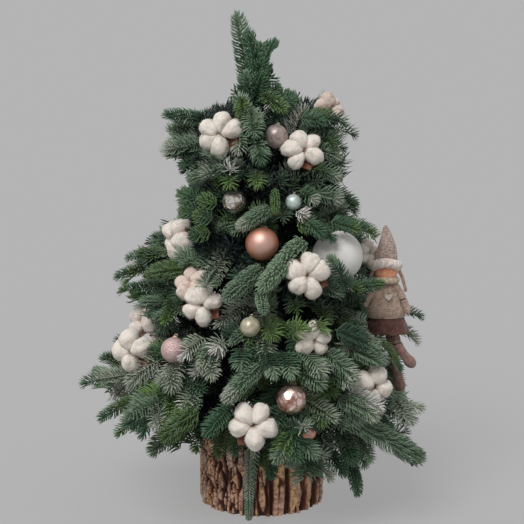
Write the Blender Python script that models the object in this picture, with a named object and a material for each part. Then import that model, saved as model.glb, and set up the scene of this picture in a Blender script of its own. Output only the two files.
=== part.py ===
"""Tabletop Christmas tree: sprigs of fir round a short trunk that stands in a slice of log.

The crown is built by one rule. Each tier sends out limbs at even azimuths, and each limb
carries one mass of needle sprays that grows from its tip, or from the trunk, and keeps to
its own space. Units are metres, +Z is up, -Y is the front, and the origin is the centre of
the log's flat underside. Azimuths are in degrees from +X towards +Y.
"""
import math
import random
from collections import namedtuple

import bmesh
import bpy
from mathutils import Vector
from mathutils.bvhtree import BVHTree

RIGHT = Vector((1.0, 0.0, 0.0))
BACK = Vector((0.0, 1.0, 0.0))
UP = Vector((0.0, 0.0, 1.0))
GAP = 0.0003            # clearance between two pieces that meet
SEED = 7

# Slice of log that the trunk stands in
LOG_RADIUS = 0.0755     # over the ridges of the bark
LOG_HEIGHT = 0.085
LOG_SIDES = 40
RIDGE_SPACING = 4       # sides from one ridge of bark to the next
BARK_DEPTH = 0.0045     # from a ridge to the floor of a furrow
BARK_ROUGHNESS = 0.0016
BARK_FOOT = 0.003       # height of the worn edge at the foot and the rim
EDGE_WEAR = 0.002
SOCKET_FLOOR = 0.045    # height of the blind hole's floor
SOCKET_RADIUS = 0.0128

# Trunk, from its flat cut in the socket to its tip
TRUNK_SIDES = 12
UPPER_STEPS = 8         # rings above the flare
TRUNK_FOOT = SOCKET_FLOOR + GAP
TRUNK_TIP = 0.470
TRUNK_FOOT_RADIUS = SOCKET_RADIUS - GAP
TRUNK_TIP_RADIUS = 0.0035
TRUNK_LEAN = -0.014     # how far the tip stands to the left of the foot
FLARE = 0.0045          # how much wider the trunk is just above the log
FLARE_HEIGHT = 0.030

# Boughs
BOUGH_SIDES = 6
BOUGH_ROOT_RADIUS = 0.0044
BOUGH_TIP_RADIUS = 0.0030
ROOT_STAGGER = 0.026    # height over which the roots of one tier are spread
TIP_STAGGER = 0.030     # height over which its tips are spread
GOLDEN = 0.618          # share of the spread from one mass to the next
TURN_CHANCE = 4.0       # how many degrees a mass may turn from its even place
REACH_CHANCE = 0.03     # share by which its reach may change

# Needle sprays: toothed blades with a sharp rim
STEM_RADIUS = 0.0026    # half width and half thickness of a stem
SPRAY_HALF_WIDTH = 0.0195
SPRAY_THICKNESS = 0.0052  # half thickness where the teeth begin
SPRAY_TIP_THICKNESS = 0.0018
SPRAY_WAIST = 0.42      # width between two teeth, as a share of the width at a tooth
WAIST_NARROWING = 0.45  # how much narrower the waists are near the tip
FIRST_TOOTH = 0.80      # width at the first tooth, as a share of the half width
TIP_NARROWING = 0.38    # how much narrower the teeth are near the tip
TOOTH_PLACE = 0.30      # where a tooth stands between two waists
TOOTH_SWEEP = 0.0105    # how far a tooth leans towards its spray's tip
TOOTH_LIFT = 0.0020     # how far a tooth stands above its spray's stem

# Sprays of one mass: the spine, pairs of side sprays along it, and one that stands up
SPINE_TEETH = 4
SPRIG_TEETH = 6
SIDE_TEETH = 3
BARE_SPINE = 0.50       # share of a spine that has no teeth, where the side sprays stand
BARE_LEADER = 0.25
BARE_ROOT = 0.22        # share of a side spray that has no teeth
ROOT_DEPTH = 0.0024     # how far a side spray's root is sunk past the middle of the stem
PAIRS = 2
FIRST_PLACE = (0.24, 0.14)  # where the first pair stands, on a spine off the trunk and off a bough
LAST_PLACE = 0.47
SIDE_ANGLES = (44, 62)  # degrees between a side spray and its spine
SIDE_LIFTS = (-22, 14)  # degrees by which it rises from the plane of its mass
SIDE_LENGTHS = (0.90, 1.12)
SIDE_SHORTENING = 0.30  # how much shorter the side sprays are near the spine's tip
FORWARD_BEND = 0.22     # how far a side spray's tip bends forward, as a share of its length
CREST_PLACES = (0.30, 0.42)
CREST_ANGLE = math.radians(52)
CREST_LENGTH = 0.046

# Room that the masses leave each other
CLEARANCE = 0.0011      # between a spray and every other mass and limb
CELL_MARGIN = 0.004     # how far a spray's tip may pass the middle of the space between masses
SPRAY_LENGTHS = (1.0, 0.8, 0.62)  # shares of its length that a spray is tried at

# A tier's tips and reaches are given at its left and its right, and blend round the tree.
Tier = namedtuple("Tier", "name root tips reaches count phase arch limb side_length")
TIERS = (
    Tier("collar", 0.425, (0.462, 0.448), (0.107, 0.107), 5, 180, 0.010, 0.00, 0.046),
    Tier("shoulder", 0.392, (0.408, 0.400), (0.110, 0.100), 6, 0, 0.022, 0.00, 0.054),
    Tier("breast", 0.362, (0.332, 0.340), (0.088, 0.112), 6, 30, 0.040, 0.00, 0.060),
    Tier("waist", 0.318, (0.248, 0.276), (0.170, 0.146), 6, 0, 0.052, 0.00, 0.068),
    Tier("hip", 0.268, (0.200, 0.198), (0.174, 0.166), 6, 30, 0.058, 0.30, 0.072),
    Tier("hem", 0.214, (0.124, 0.100), (0.218, 0.192), 7, 180, 0.062, 0.30, 0.074),
    Tier("skirt", 0.144, (0.086, 0.056), (0.176, 0.190), 6, -10, 0.056, 0.00, 0.064),
)
ARCH_PLACE = 0.55       # where the arch of a limb stands between its foot and its tip

# Sprigs that no tier makes: start, bend and tip.
SPRIGS = {
    "front_sprig": ((0.0, -0.016, 0.118), (-0.004, -0.124, 0.150), (-0.014, -0.103, 0.014)),
    "right_sprig": ((0.010, -0.012, 0.120), (0.082, -0.076, 0.150), (0.112, -0.092, 0.032)),
}

# The leader, and its side sprays: place along it, degrees to its right and length.
LEADER_TIP = Vector((-0.029, 0.0, 0.574))
LEADER_BOW = Vector((0.004, 0.0, 0.0))
LEADER_SPRAYS = ((0.15, 24, 0.061), (0.07, 47, 0.048), (0.10, -60, 0.030))

Spray = namedtuple("Spray", "start bend tip up teeth bare cut")
Mass = namedtuple("Mass", "name limb spine sprays")

MATERIALS = {
    "log_bark": ((0.34, 0.22, 0.14), 0.9),
    "bark": ((0.24, 0.17, 0.11), 0.85),
    "needles": ((0.06, 0.15, 0.08), 0.6),
}


# Curves

def along(curve, t):
    """The point at share t of a curve of start, bend and tip."""
    start, bend, tip = curve
    return start.lerp(bend, t).lerp(bend.lerp(tip, t), t)


def heading(curve, t):
    """The unit direction of a curve at share t."""
    start, bend, tip = curve
    return (bend - start).lerp(tip - bend, t).normalized()


def split(curve, t):
    """The two stretches of a curve before and after share t."""
    start, bend, tip = curve
    middle = along(curve, t)
    return (start, start.lerp(bend, t), middle), (middle, bend.lerp(tip, t), tip)


def sideways(direction, up):
    """The unit vector to the right of a direction, square to it and to up."""
    return direction.cross(up).normalized()


# Trunk

def trunk_centre(z):
    """The trunk's axis at height z: upright at the log, leaning more and more above it."""
    share = max(0.0, z - LOG_HEIGHT) / (TRUNK_TIP - LOG_HEIGHT)
    return Vector((TRUNK_LEAN * share ** 2, 0.0, z))


def trunk_radius(z):
    """The trunk's radius at height z, with its flare just above the log."""
    share = (z - TRUNK_FOOT) / (TRUNK_TIP - TRUNK_FOOT)
    radius = TRUNK_FOOT_RADIUS + (TRUNK_TIP_RADIUS - TRUNK_FOOT_RADIUS) * share
    above = (z - LOG_HEIGHT) / FLARE_HEIGHT
    if 0.0 < above < 1.0:
        radius += FLARE * (1.0 - above) ** 2
    return radius


def off_trunk(azimuth, z, direction, radius):
    """Where a flat-ended stem of this radius starts, so that its end clears the trunk by GAP."""
    outward = Vector((math.cos(azimuth), math.sin(azimuth), 0.0))
    across = sideways(direction, UP) * radius
    above = across.cross(direction.normalized())
    start = trunk_centre(z) + outward * trunk_radius(z)
    ends = [start, start + across, start - across, start + above, start - above]
    clear = min((end - trunk_centre(end.z)).length - trunk_radius(end.z) for end in ends)
    return start + outward * (GAP - clear)


# The crown's rule

def upper_side(spine):
    """The unit vector square to a spine that points most nearly up."""
    middle = heading(spine, 0.5)
    return sideways(middle, UP).cross(middle).normalized()


def side_spray(spine, up, place, side, angle, lift, length):
    """A spray that leaves the spine at a place, turned sideways by angle and up by lift."""
    ahead = heading(spine, place)
    across = sideways(ahead, up) * side
    flat = ahead * math.cos(angle) + across * math.sin(angle)
    direction = (flat * math.cos(lift) + up * math.sin(lift)).normalized()
    root = along(spine, place)
    start = root - direction * ROOT_DEPTH
    bend = root + direction * (0.5 * length)
    tip = root + direction * length + ahead * (FORWARD_BEND * length)
    own_up = (up * 0.5 - ahead) if side == 0 else up
    own_up = (own_up - direction * own_up.dot(direction)).normalized()
    return Spray(start, bend, tip, own_up, SIDE_TEETH, BARE_ROOT, False)


def grow_sprays(spine, tier, rng):
    """The spine's own spray, then pairs of side sprays and one that stands up from it."""
    up = upper_side(spine)
    sprays = [Spray(*spine, up, SPINE_TEETH, BARE_SPINE, True)]
    first = FIRST_PLACE[bool(tier.limb)]
    for pair in range(PAIRS):
        place = first + (LAST_PLACE - first) * pair / (PAIRS - 1)
        for side in (1, -1):
            angle = math.radians(rng.uniform(*SIDE_ANGLES))
            lift = math.radians(rng.uniform(*SIDE_LIFTS))
            length = tier.side_length * (1.0 - SIDE_SHORTENING * place) * rng.uniform(*SIDE_LENGTHS)
            sprays.append(side_spray(spine, up, place, side, angle, lift, length))
    place = rng.uniform(*CREST_PLACES)
    sprays.append(side_spray(spine, up, place, 0, CREST_ANGLE, CREST_ANGLE, CREST_LENGTH))
    return sprays


def tier_masses(tier):
    """The masses of one tier, evenly round the trunk, each with its own chance changes."""
    masses = []
    for index in range(tier.count):
        rng = random.Random(f"{SEED}-{tier.name}-{index}")
        degrees = tier.phase + 360.0 * index / tier.count + rng.uniform(-TURN_CHANCE, TURN_CHANCE)
        azimuth = math.radians(degrees)
        outward = Vector((math.cos(azimuth), math.sin(azimuth), 0.0))
        to_right = 0.5 + 0.5 * outward.x
        reach = tier.reaches[0] + (tier.reaches[1] - tier.reaches[0]) * to_right
        reach *= 1.0 + rng.uniform(-REACH_CHANCE, REACH_CHANCE)
        height = tier.tips[0] + (tier.tips[1] - tier.tips[0]) * to_right
        stagger = index * GOLDEN % 1.0 - 0.5
        tip = outward * reach + UP * (height + TIP_STAGGER * stagger)
        foot = trunk_centre(tier.root + ROOT_STAGGER * stagger)
        bend = foot.lerp(tip, ARCH_PLACE) + UP * tier.arch
        stem = BOUGH_ROOT_RADIUS if tier.limb else STEM_RADIUS
        spine = (off_trunk(azimuth, foot.z, bend - foot, stem), bend, tip)
        limb = None
        if tier.limb:
            limb, (start, bend, tip) = split(spine, tier.limb)
            spine = (start + heading(limb, 1.0) * GAP, bend, tip)
        masses.append(Mass(f"{tier.name}_{index + 1}", limb, spine, grow_sprays(spine, tier, rng)))
    return masses


def leader_mass():
    """The upright mass at the top, which grows on from the trunk's tip."""
    start = trunk_centre(TRUNK_TIP) + UP * GAP
    spine = (start, start.lerp(LEADER_TIP, 0.5) + LEADER_BOW, LEADER_TIP)
    front = Vector((0.0, -1.0, 0.0))
    sprays = [Spray(*spine, front, SPRIG_TEETH, BARE_LEADER, True)]
    for place, degrees, length in LEADER_SPRAYS:
        side = math.copysign(1.0, degrees)
        angle = math.radians(abs(degrees))
        sprays.append(side_spray(spine, front, place, side, angle, 0.0, length))
    return Mass("leader", None, spine, sprays)


def sprig_mass(name, points):
    """A mass on one bent spine, whose points are given."""
    start, bend, tip = (Vector(point) for point in points)
    azimuth = math.atan2(start.y, start.x)
    spine = (off_trunk(azimuth, start.z, bend - start, STEM_RADIUS), bend, tip)
    return Mass(name, None, spine, [Spray(*spine, upper_side(spine), SPRIG_TEETH, BARE_SPINE, True)])


def crown():
    """Every mass of the crown, from the top down."""
    masses = [leader_mass()]
    for tier in TIERS:
        masses.extend(tier_masses(tier))
    masses.extend(sprig_mass(name, points) for name, points in SPRIGS.items())
    return masses


# Meshes

def new_object(name, mesh_data, material):
    """An object in the scene from points and faces, with its faces turned outwards."""
    mesh = bpy.data.meshes.new(name)
    points, faces = mesh_data
    mesh.from_pydata([tuple(point) for point in points], [], faces)
    work = bmesh.new()
    work.from_mesh(mesh)
    bmesh.ops.triangulate(work, faces=work.faces[:])
    bmesh.ops.recalc_face_normals(work, faces=work.faces[:])
    work.to_mesh(mesh)
    work.free()
    piece = bpy.data.objects.new(name, mesh)
    bpy.context.scene.collection.objects.link(piece)
    mesh.materials.append(material)
    return piece


def ring(centre, across, upward, radius, sides):
    """Points round a circle in the plane of two unit vectors."""
    turns = (2.0 * math.pi * k / sides for k in range(sides))
    return [centre + across * (radius * math.cos(a)) + upward * (radius * math.sin(a)) for a in turns]


def skin(rings):
    """Points and faces of a tube through rings of equal count, closed by flat ends."""
    sides = len(rings[0])
    points = [point for loop in rings for point in loop]
    faces = [tuple(range(sides)), tuple(range(len(points) - sides, len(points)))]
    for low in range(0, len(points) - sides, sides):
        for k in range(sides):
            following = (k + 1) % sides
            faces.append((low + k, low + following, low + sides + following, low + sides + k))
    return points, faces


def log_mesh():
    """A slice of log: ridged bark, worn edges, and a blind round socket for the trunk."""
    rng = random.Random(f"{SEED}-log")
    depths = []
    for k in range(LOG_SIDES):
        ridge = k % RIDGE_SPACING < RIDGE_SPACING / 2
        depths.append(BARK_DEPTH * (rng.uniform(0.0, 0.25) if ridge else rng.uniform(0.7, 1.0)))
    turns = [2.0 * math.pi * k / LOG_SIDES for k in range(LOG_SIDES)]
    outwards = [Vector((math.cos(turn), math.sin(turn), 0.0)) for turn in turns]
    rings = []
    for z in (0.0, BARK_FOOT, LOG_HEIGHT / 3, LOG_HEIGHT * 2 / 3, LOG_HEIGHT - BARK_FOOT, LOG_HEIGHT):
        worn = EDGE_WEAR if z in (0.0, LOG_HEIGHT) else rng.uniform(0.0, BARK_ROUGHNESS)
        rings.append([outward * (LOG_RADIUS - depth - worn) + UP * z
                      for outward, depth in zip(outwards, depths)])
    for z in (LOG_HEIGHT, SOCKET_FLOOR):
        rings.append(ring(UP * z, RIGHT, BACK, SOCKET_RADIUS, LOG_SIDES))
    return skin(rings)


def trunk_mesh():
    """The tapering, leaning trunk from the flat cut in the socket to the tip."""
    foot = LOG_HEIGHT + GAP
    top = foot + FLARE_HEIGHT
    heights = [foot + FLARE_HEIGHT * share for share in (0.0, 0.4, 1.0)]
    heights += [top + (TRUNK_TIP - top) * step / UPPER_STEPS for step in range(1, UPPER_STEPS + 1)]
    rings = [ring(UP * z, RIGHT, BACK, TRUNK_FOOT_RADIUS, TRUNK_SIDES) for z in (TRUNK_FOOT, foot)]
    rings += [ring(trunk_centre(z), RIGHT, BACK, trunk_radius(z), TRUNK_SIDES) for z in heights]
    return skin(rings)


def bough_mesh(limb):
    """One bough, a limb that tapers from the trunk to where its mass begins."""
    rings = []
    for t in (0.0, 0.5, 1.0):
        ahead = heading(limb, t)
        across = sideways(ahead, UP)
        radius = BOUGH_ROOT_RADIUS + (BOUGH_TIP_RADIUS - BOUGH_ROOT_RADIUS) * t
        rings.append(ring(along(limb, t), across, across.cross(ahead), radius, BOUGH_SIDES))
    return skin(rings)


def spray_mesh(spray, grown=0.0):
    """A toothed blade along a curve, sharp at its rim and thickest over its stem.

    grown makes it larger all round, to test its clearance.
    """
    curve = (spray.start, spray.bend, spray.tip)
    points = []

    def put(t, across, upward, ahead=0.0):
        """Add a point beside the curve and return its index."""
        direction = heading(curve, t)
        right = sideways(direction, spray.up)
        above = right.cross(direction)
        points.append(along(curve, t) + right * across + above * upward + direction * ahead)
        return len(points) - 1

    ridges, rims = [], []
    step = (1.0 - spray.bare) / spray.teeth
    for k in range(spray.teeth):
        t = spray.bare + step * k
        thick = SPRAY_THICKNESS + (SPRAY_TIP_THICKNESS - SPRAY_THICKNESS) * k / spray.teeth + grown
        waist = SPRAY_HALF_WIDTH * SPRAY_WAIST * (1.0 - WAIST_NARROWING * t) + grown
        tooth = SPRAY_HALF_WIDTH * (1.0 - TIP_NARROWING * t ** 2) + grown
        if k == 0:
            waist = STEM_RADIUS + grown
            tooth = SPRAY_HALF_WIDTH * FIRST_TOOTH + grown
        ridges.append((put(t, 0.0, thick), put(t, 0.0, -thick)))
        ahead = t + TOOTH_PLACE * step
        rims.append([(put(t, side * waist, 0.0), put(ahead, side * tooth, TOOTH_LIFT, TOOTH_SWEEP))
                     for side in (1, -1)])
    faces = []
    neck = (ridges[0][0], rims[0][0][0], ridges[0][1], rims[0][1][0])
    if spray.cut:
        thick = STEM_RADIUS + grown
        stem = [[put(t, 0.0, thick), put(t, thick, 0.0), put(t, 0.0, -thick), put(t, -thick, 0.0)]
                for t in (0.0, 0.5 * spray.bare)] + [neck]
        faces.append(tuple(stem[0]))
        for low, high in zip(stem, stem[1:]):
            faces += [(low[k], low[(k + 1) % 4], high[(k + 1) % 4], high[k]) for k in range(4)]
    else:
        root = put(0.0, 0.0, 0.0, -grown)
        faces += [(root, neck[(k + 1) % 4], neck[k]) for k in range(4)]
    tip = put(1.0, 0.0, 0.0, grown)
    for k in range(spray.teeth):
        last = k == spray.teeth - 1
        for side in (0, 1):
            root, tooth = rims[k][side]
            next_root = tip if last else rims[k + 1][side][0]
            for face in (0, 1):
                ridge = ridges[k][face]
                faces += [(ridge, root, tooth), (ridge, tooth, next_root)]
                if not last:
                    faces.append((ridge, next_root, ridges[k + 1][face]))
    return points, faces


# Growing the masses clear of each other

def solid_tree(mesh_data):
    """A search tree over a mesh, for overlap tests."""
    points, faces = mesh_data
    return BVHTree.FromPolygons(points, faces)


def in_own_space(spray, own, masses):
    """True where the spray's tip is nearer its own spine than any other mass's spine."""
    places = [k / 6 for k in range(1, 7)]
    near = min((along(own.spine, t) - spray.tip).length for t in places)
    return all(near < min((along(other.spine, t) - spray.tip).length for t in places) + CELL_MARGIN
               for other in masses if other is not own)


def shortened(spray, share):
    """The spray cut down to a share of its length."""
    start, bend, tip = split((spray.start, spray.bend, spray.tip), share)[0]
    return spray._replace(start=start, bend=bend, tip=tip, teeth=max(3, round(spray.teeth * share)))


def keep_clear(masses, limbs):
    """The sprays that each mass keeps: its spine, and side sprays that touch nothing else."""
    standing = [(None, solid_tree(mesh)) for mesh in limbs]
    standing += [(mass.name, solid_tree(spray_mesh(mass.sprays[0]))) for mass in masses]
    kept = {mass.name: [mass.sprays[0]] for mass in masses}
    for turn in range(1, max(len(mass.sprays) for mass in masses)):
        for mass in masses:
            if turn >= len(mass.sprays):
                continue
            for share in SPRAY_LENGTHS:
                spray = shortened(mass.sprays[turn], share)
                tree = solid_tree(spray_mesh(spray, CLEARANCE))
                clear = not any(name != mass.name and tree.overlap(other) for name, other in standing)
                if clear and in_own_space(spray, mass, masses):
                    standing.append((mass.name, solid_tree(spray_mesh(spray))))
                    kept[mass.name].append(spray)
                    break
    return kept


def fuse(name, meshes, material):
    """Make one object, the union of a mass's sprays."""
    first = new_object(name, meshes[0], material)
    others = bpy.data.collections.new(f"{name}_sprays")
    for index, mesh in enumerate(meshes[1:]):
        spray = new_object(f"{name}_spray_{index}", mesh, material)
        bpy.context.scene.collection.objects.unlink(spray)
        others.objects.link(spray)
    if others.objects:
        union = first.modifiers.new("union", "BOOLEAN")
        union.operation = "UNION"
        union.operand_type = "COLLECTION"
        union.collection = others
        union.solver = "EXACT"
        bpy.context.scene.collection.children.link(others)
        graph = bpy.context.evaluated_depsgraph_get()
        joined = bpy.data.meshes.new_from_object(first.evaluated_get(graph))
        first.modifiers.clear()
        first.data = joined
    for spray in list(others.objects):
        bpy.data.objects.remove(spray)
    bpy.data.collections.remove(others)


def make_material(name):
    """A plain material from the table of materials."""
    colour, roughness = MATERIALS[name]
    material = bpy.data.materials.new(name)
    material.use_nodes = True
    shader = material.node_tree.nodes["Principled BSDF"]
    shader.inputs["Base Color"].default_value = (*colour, 1.0)
    shader.inputs["Roughness"].default_value = roughness
    shader.inputs["Metallic"].default_value = 0.0
    return material


def main():
    """Build the log, the trunk, the boughs and the masses."""
    for old in list(bpy.data.objects):
        bpy.data.objects.remove(old)
    materials = {name: make_material(name) for name in MATERIALS}
    masses = crown()
    new_object("log", log_mesh(), materials["log_bark"])
    new_object("trunk", trunk_mesh(), materials["bark"])
    limbs = [log_mesh(), trunk_mesh()]
    for mass in masses:
        if mass.limb:
            limbs.append(bough_mesh(mass.limb))
            new_object(f"{mass.name}_bough", limbs[-1], materials["bark"])
    kept = keep_clear(masses, limbs)
    for mass in masses:
        fuse(mass.name, [spray_mesh(spray) for spray in kept[mass.name]], materials["needles"])


main()
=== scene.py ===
"""The looks of a tabletop Christmas tree: needles, bark, cotton bolls, glass balls and a doll.

The crown grows by the same rule as the solid model, carried on to finer twigs and to single
needles. Units are metres, +Z is up, -Y is the front and azimuths run from +X towards +Y.
"""
from __future__ import annotations

import logging
import math
import random
from dataclasses import dataclass, field
from enum import Enum
from typing import Callable, Iterator, NamedTuple, Sequence, TypeVar

import bpy
import numpy as np
from mathutils import Matrix, Vector, noise

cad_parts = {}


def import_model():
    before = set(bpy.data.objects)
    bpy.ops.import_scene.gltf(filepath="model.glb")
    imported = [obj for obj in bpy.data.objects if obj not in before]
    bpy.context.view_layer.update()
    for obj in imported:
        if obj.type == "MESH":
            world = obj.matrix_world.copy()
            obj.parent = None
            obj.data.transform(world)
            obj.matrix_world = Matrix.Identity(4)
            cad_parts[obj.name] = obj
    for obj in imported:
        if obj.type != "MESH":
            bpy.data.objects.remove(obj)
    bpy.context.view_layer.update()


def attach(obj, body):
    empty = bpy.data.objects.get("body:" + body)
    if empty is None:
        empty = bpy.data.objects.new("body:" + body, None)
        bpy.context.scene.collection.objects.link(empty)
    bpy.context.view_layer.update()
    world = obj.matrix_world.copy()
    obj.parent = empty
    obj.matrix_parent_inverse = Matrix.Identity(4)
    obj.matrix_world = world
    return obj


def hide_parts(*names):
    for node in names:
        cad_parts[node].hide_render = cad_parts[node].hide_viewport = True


LOG = logging.getLogger("tabletop_tree")
BODY = "root"
SEED = 7

BACK = Vector((0.0, 1.0, 0.0))
FRONT = -BACK
UP = Vector((0.0, 0.0, 1.0))

Curve = tuple[Vector, Vector, Vector]
Shoot = tuple[Curve, Vector]
Colour = Place = tuple[float, float, float]
Range = tuple[float, float]
Row = tuple[float, float, float, float]
Piece = bpy.types.Object
Material = bpy.types.Material
Socket = bpy.types.NodeSocket
Tree = bpy.types.NodeTree
Choice = TypeVar("Choice")


# Curves

def along(curve: Curve, t: float) -> Vector:
    """The point at share t of a curve of start, bend and tip."""
    start, bend, tip = curve
    return start.lerp(bend, t).lerp(bend.lerp(tip, t), t)


def heading(curve: Curve, t: float) -> Vector:
    """The unit direction of a curve at share t."""
    start, bend, tip = curve
    return (bend - start).lerp(tip - bend, t).normalized()


def split(curve: Curve, t: float) -> tuple[Curve, Curve]:
    """The two stretches of a curve before and after share t."""
    start, bend, tip = curve
    middle = along(curve, t)
    return (start, start.lerp(bend, t), middle), (middle, bend.lerp(tip, t), tip)


def sideways(direction: Vector, up: Vector) -> Vector:
    """The unit vector to the right of a direction, square to it and to up."""
    return direction.cross(up).normalized()


def smooth(low: float, high: float, value: float) -> float:
    """An S-shaped step from 0 at low to 1 at high."""
    share = min(1.0, max(0.0, (value - low) / (high - low)))
    return share * share * (3.0 - 2.0 * share)


def unit(rows: np.ndarray) -> np.ndarray:
    """Rows of vectors, each made one long."""
    return rows / np.linalg.norm(rows, axis=1)[:, None]


def round_z(angle: float, radius: float = 1.0, z: float = 0.0) -> Vector:
    """The point at an angle and a distance round the z axis, at height z."""
    return Vector((math.cos(angle) * radius, math.sin(angle) * radius, z))


def drawn(rng: random.Random, degrees: tuple[float, float]) -> float:
    """An angle drawn from a range in degrees, in radians."""
    return math.radians(rng.uniform(*degrees))


def pick(chance: float, *rows: tuple[float, Choice]) -> Choice:
    """The first choice whose share is above chance."""
    return next(choice for share, choice in rows if chance < share)


# Mesh tools

def select_only(*pieces: Piece) -> None:
    """Select these pieces and nothing else, with the first of them active."""
    bpy.ops.object.select_all(action="DESELECT")
    for piece in pieces:
        piece.select_set(True)
    if pieces:
        bpy.context.view_layer.objects.active = pieces[0]


def added(name: str) -> Piece:
    """The primitive that was just added, with its name."""
    piece = bpy.context.object
    piece.name = piece.data.name = name
    return piece


def grid_cylinder(name: str, sides: int, rings: int) -> Piece:
    """A unit cylinder whose wall is cut into rings, as a start for turned and bent shapes.

    Args:
        name: The object's name.
        sides: Faces round the wall.
        rings: Rows of faces up the wall.

    Returns:
        The object, with its foot at z = 0, its top at z = 1 and a fan of faces at each end.
    """
    select_only()
    bpy.ops.mesh.primitive_cylinder_add(vertices=sides, radius=1.0, depth=1.0,
                                        end_fill_type="TRIFAN", location=(0.0, 0.0, 0.5))
    piece = added(name)
    bpy.ops.object.transform_apply(location=True)
    if rings > 1:
        bpy.ops.object.mode_set(mode="EDIT")
        bpy.ops.mesh.select_mode(type="EDGE")
        bpy.ops.mesh.select_all(action="DESELECT")
        bpy.ops.object.mode_set(mode="OBJECT")
        points = piece.data.vertices
        for edge in piece.data.edges:
            low, high = (points[index].co for index in edge.vertices)
            edge.select = abs(low.z - high.z) > 0.5
        bpy.ops.object.mode_set(mode="EDIT")
        bpy.ops.mesh.subdivide(number_cuts=rings - 1)
        bpy.ops.object.mode_set(mode="OBJECT")
    return piece


def ball(name: str, detail: int) -> Piece:
    """A unit ball of even triangles, as a start for soft rounded shapes."""
    select_only()
    bpy.ops.mesh.primitive_ico_sphere_add(subdivisions=detail, radius=1.0)
    return added(name)


def smooth_shade(piece: Piece, degrees: float = 40.0) -> None:
    """Shade a piece smooth, but for edges sharper than an angle."""
    select_only(piece)
    bpy.ops.object.shade_smooth_by_angle(angle=math.radians(degrees))


def shape_rings(piece: Piece, place: Callable[[float, float, float], Vector], degrees: float = 40.0) -> Piece:
    """Move each point of a grid cylinder, and shade it smooth.

    Args:
        piece: The object from grid_cylinder.
        place: Gives a point from its angle, its height from 0 to 1 and its radius, 0 or 1.
        degrees: The angle beyond which an edge stays sharp.

    Returns:
        The same object.
    """
    for point in piece.data.vertices:
        angle = math.atan2(point.co.y, point.co.x)
        point.co = place(angle, point.co.z, math.hypot(point.co.x, point.co.y))
    smooth_shade(piece, degrees)
    return piece


def shape_ball(piece: Piece, place: Callable[[Vector], Vector], degrees: float = 60.0) -> Piece:
    """Move each point of a ball to where place puts it, and shade it smooth."""
    for point in piece.data.vertices:
        point.co = place(point.co.copy())
    smooth_shade(piece, degrees)
    return piece


def face_outwards(piece: Piece) -> None:
    """Turn a closed mesh's faces to point out."""
    select_only(piece)
    bpy.ops.object.mode_set(mode="EDIT")
    bpy.ops.mesh.select_all(action="SELECT")
    bpy.ops.mesh.normals_make_consistent(inside=False)
    bpy.ops.object.mode_set(mode="OBJECT")


def join(pieces: Sequence[Piece], name: str) -> Piece:
    """Join pieces into the first of them and give it a name."""
    select_only(*pieces)
    bpy.ops.object.join()
    return added(name)


def mark(piece: Piece, label: str, numbers: Sequence[float]) -> None:
    """Store one number for each point of a piece, for its material to read."""
    layer = piece.data.attributes.new(label, "FLOAT", "POINT")
    layer.data.foreach_set("value", np.array(numbers, dtype=np.float32))


def dress(piece: Piece, slot: str, *materials: Material) -> Piece:
    """Give a finished piece its materials and its body."""
    for material in materials:
        piece.data.materials.append(material)
    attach(piece, BODY)
    return piece


def tube(name: str, curve: Curve, radii: tuple[float, float], sides: int = 10,
         rings: int = 12, roughness: float = 0.0) -> Piece:
    """A tapering round tube along a curve, with closed rounded ends.

    Args:
        name: The object's name.
        curve: Start, bend and tip.
        radii: Radius at the start and at the tip.
        sides: Faces round it.
        rings: Rows of faces along it.
        roughness: How far its surface strays from round, as a share of its radius.

    Returns:
        The new object.
    """
    piece = grid_cylinder(name, sides, rings)

    def place(angle: float, t: float, radius: float) -> Vector:
        ahead = heading(curve, t)
        right = sideways(ahead, BACK if abs(ahead.z) > 0.9 else UP)
        above = right.cross(ahead)
        outward = right * math.cos(angle) + above * math.sin(angle)
        wide = radii[0] + (radii[1] - radii[0]) * t
        centre = along(curve, t)
        wide *= 1.0 + roughness * noise.noise((centre + outward * wide) * 260.0)
        rounding = 0.55 if t in (0.0, 1.0) else 1.0
        return centre + outward * (wide * radius * rounding)

    face_outwards(shape_rings(piece, place))
    return piece


def arrays_to_mesh(name: str, points: np.ndarray, faces: np.ndarray, slots: np.ndarray) -> Piece:
    """An object from arrays of points, triangles and material slots."""
    mesh = bpy.data.meshes.new(name)
    mesh.vertices.add(len(points))
    mesh.vertices.foreach_set("co", points.astype(np.float32).ravel())
    mesh.loops.add(faces.size)
    mesh.loops.foreach_set("vertex_index", faces.astype(np.int32).ravel())
    mesh.polygons.add(len(faces))
    mesh.polygons.foreach_set("loop_start", np.arange(0, faces.size, 3, dtype=np.int32))
    mesh.polygons.foreach_set("loop_total", np.full(len(faces), 3, dtype=np.int32))
    mesh.polygons.foreach_set("material_index", slots.astype(np.int32))
    mesh.update(calc_edges=True)
    piece = bpy.data.objects.new(name, mesh)
    bpy.context.scene.collection.objects.link(piece)
    return piece


# Materials

class Graph:
    """A tree of shader nodes while it is made: short ways to add and link its nodes."""

    tree: Tree

    def node(self, kind: str, mode: str = "", **inputs: float) -> bpy.types.Node:
        """A new shader node.

        Args:
            kind: Its type, without the leading ShaderNode.
            mode: Its operation, or a cell texture's feature.
            inputs: The values of its inputs, with _ for a space in their names.

        Returns:
            The node.
        """
        made = self.tree.nodes.new(f"ShaderNode{kind}")
        if mode:
            setattr(made, "feature" if kind == "TexVoronoi" else "operation", mode)
        for label, number in inputs.items():
            made.inputs[label.replace("_", " ")].default_value = number
        return made

    def link(self, *ends: Socket) -> None:
        """Link each output to the input that follows it."""
        for output, target in zip(ends[::2], ends[1::2]):
            self.tree.links.new(output, target)


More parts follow.
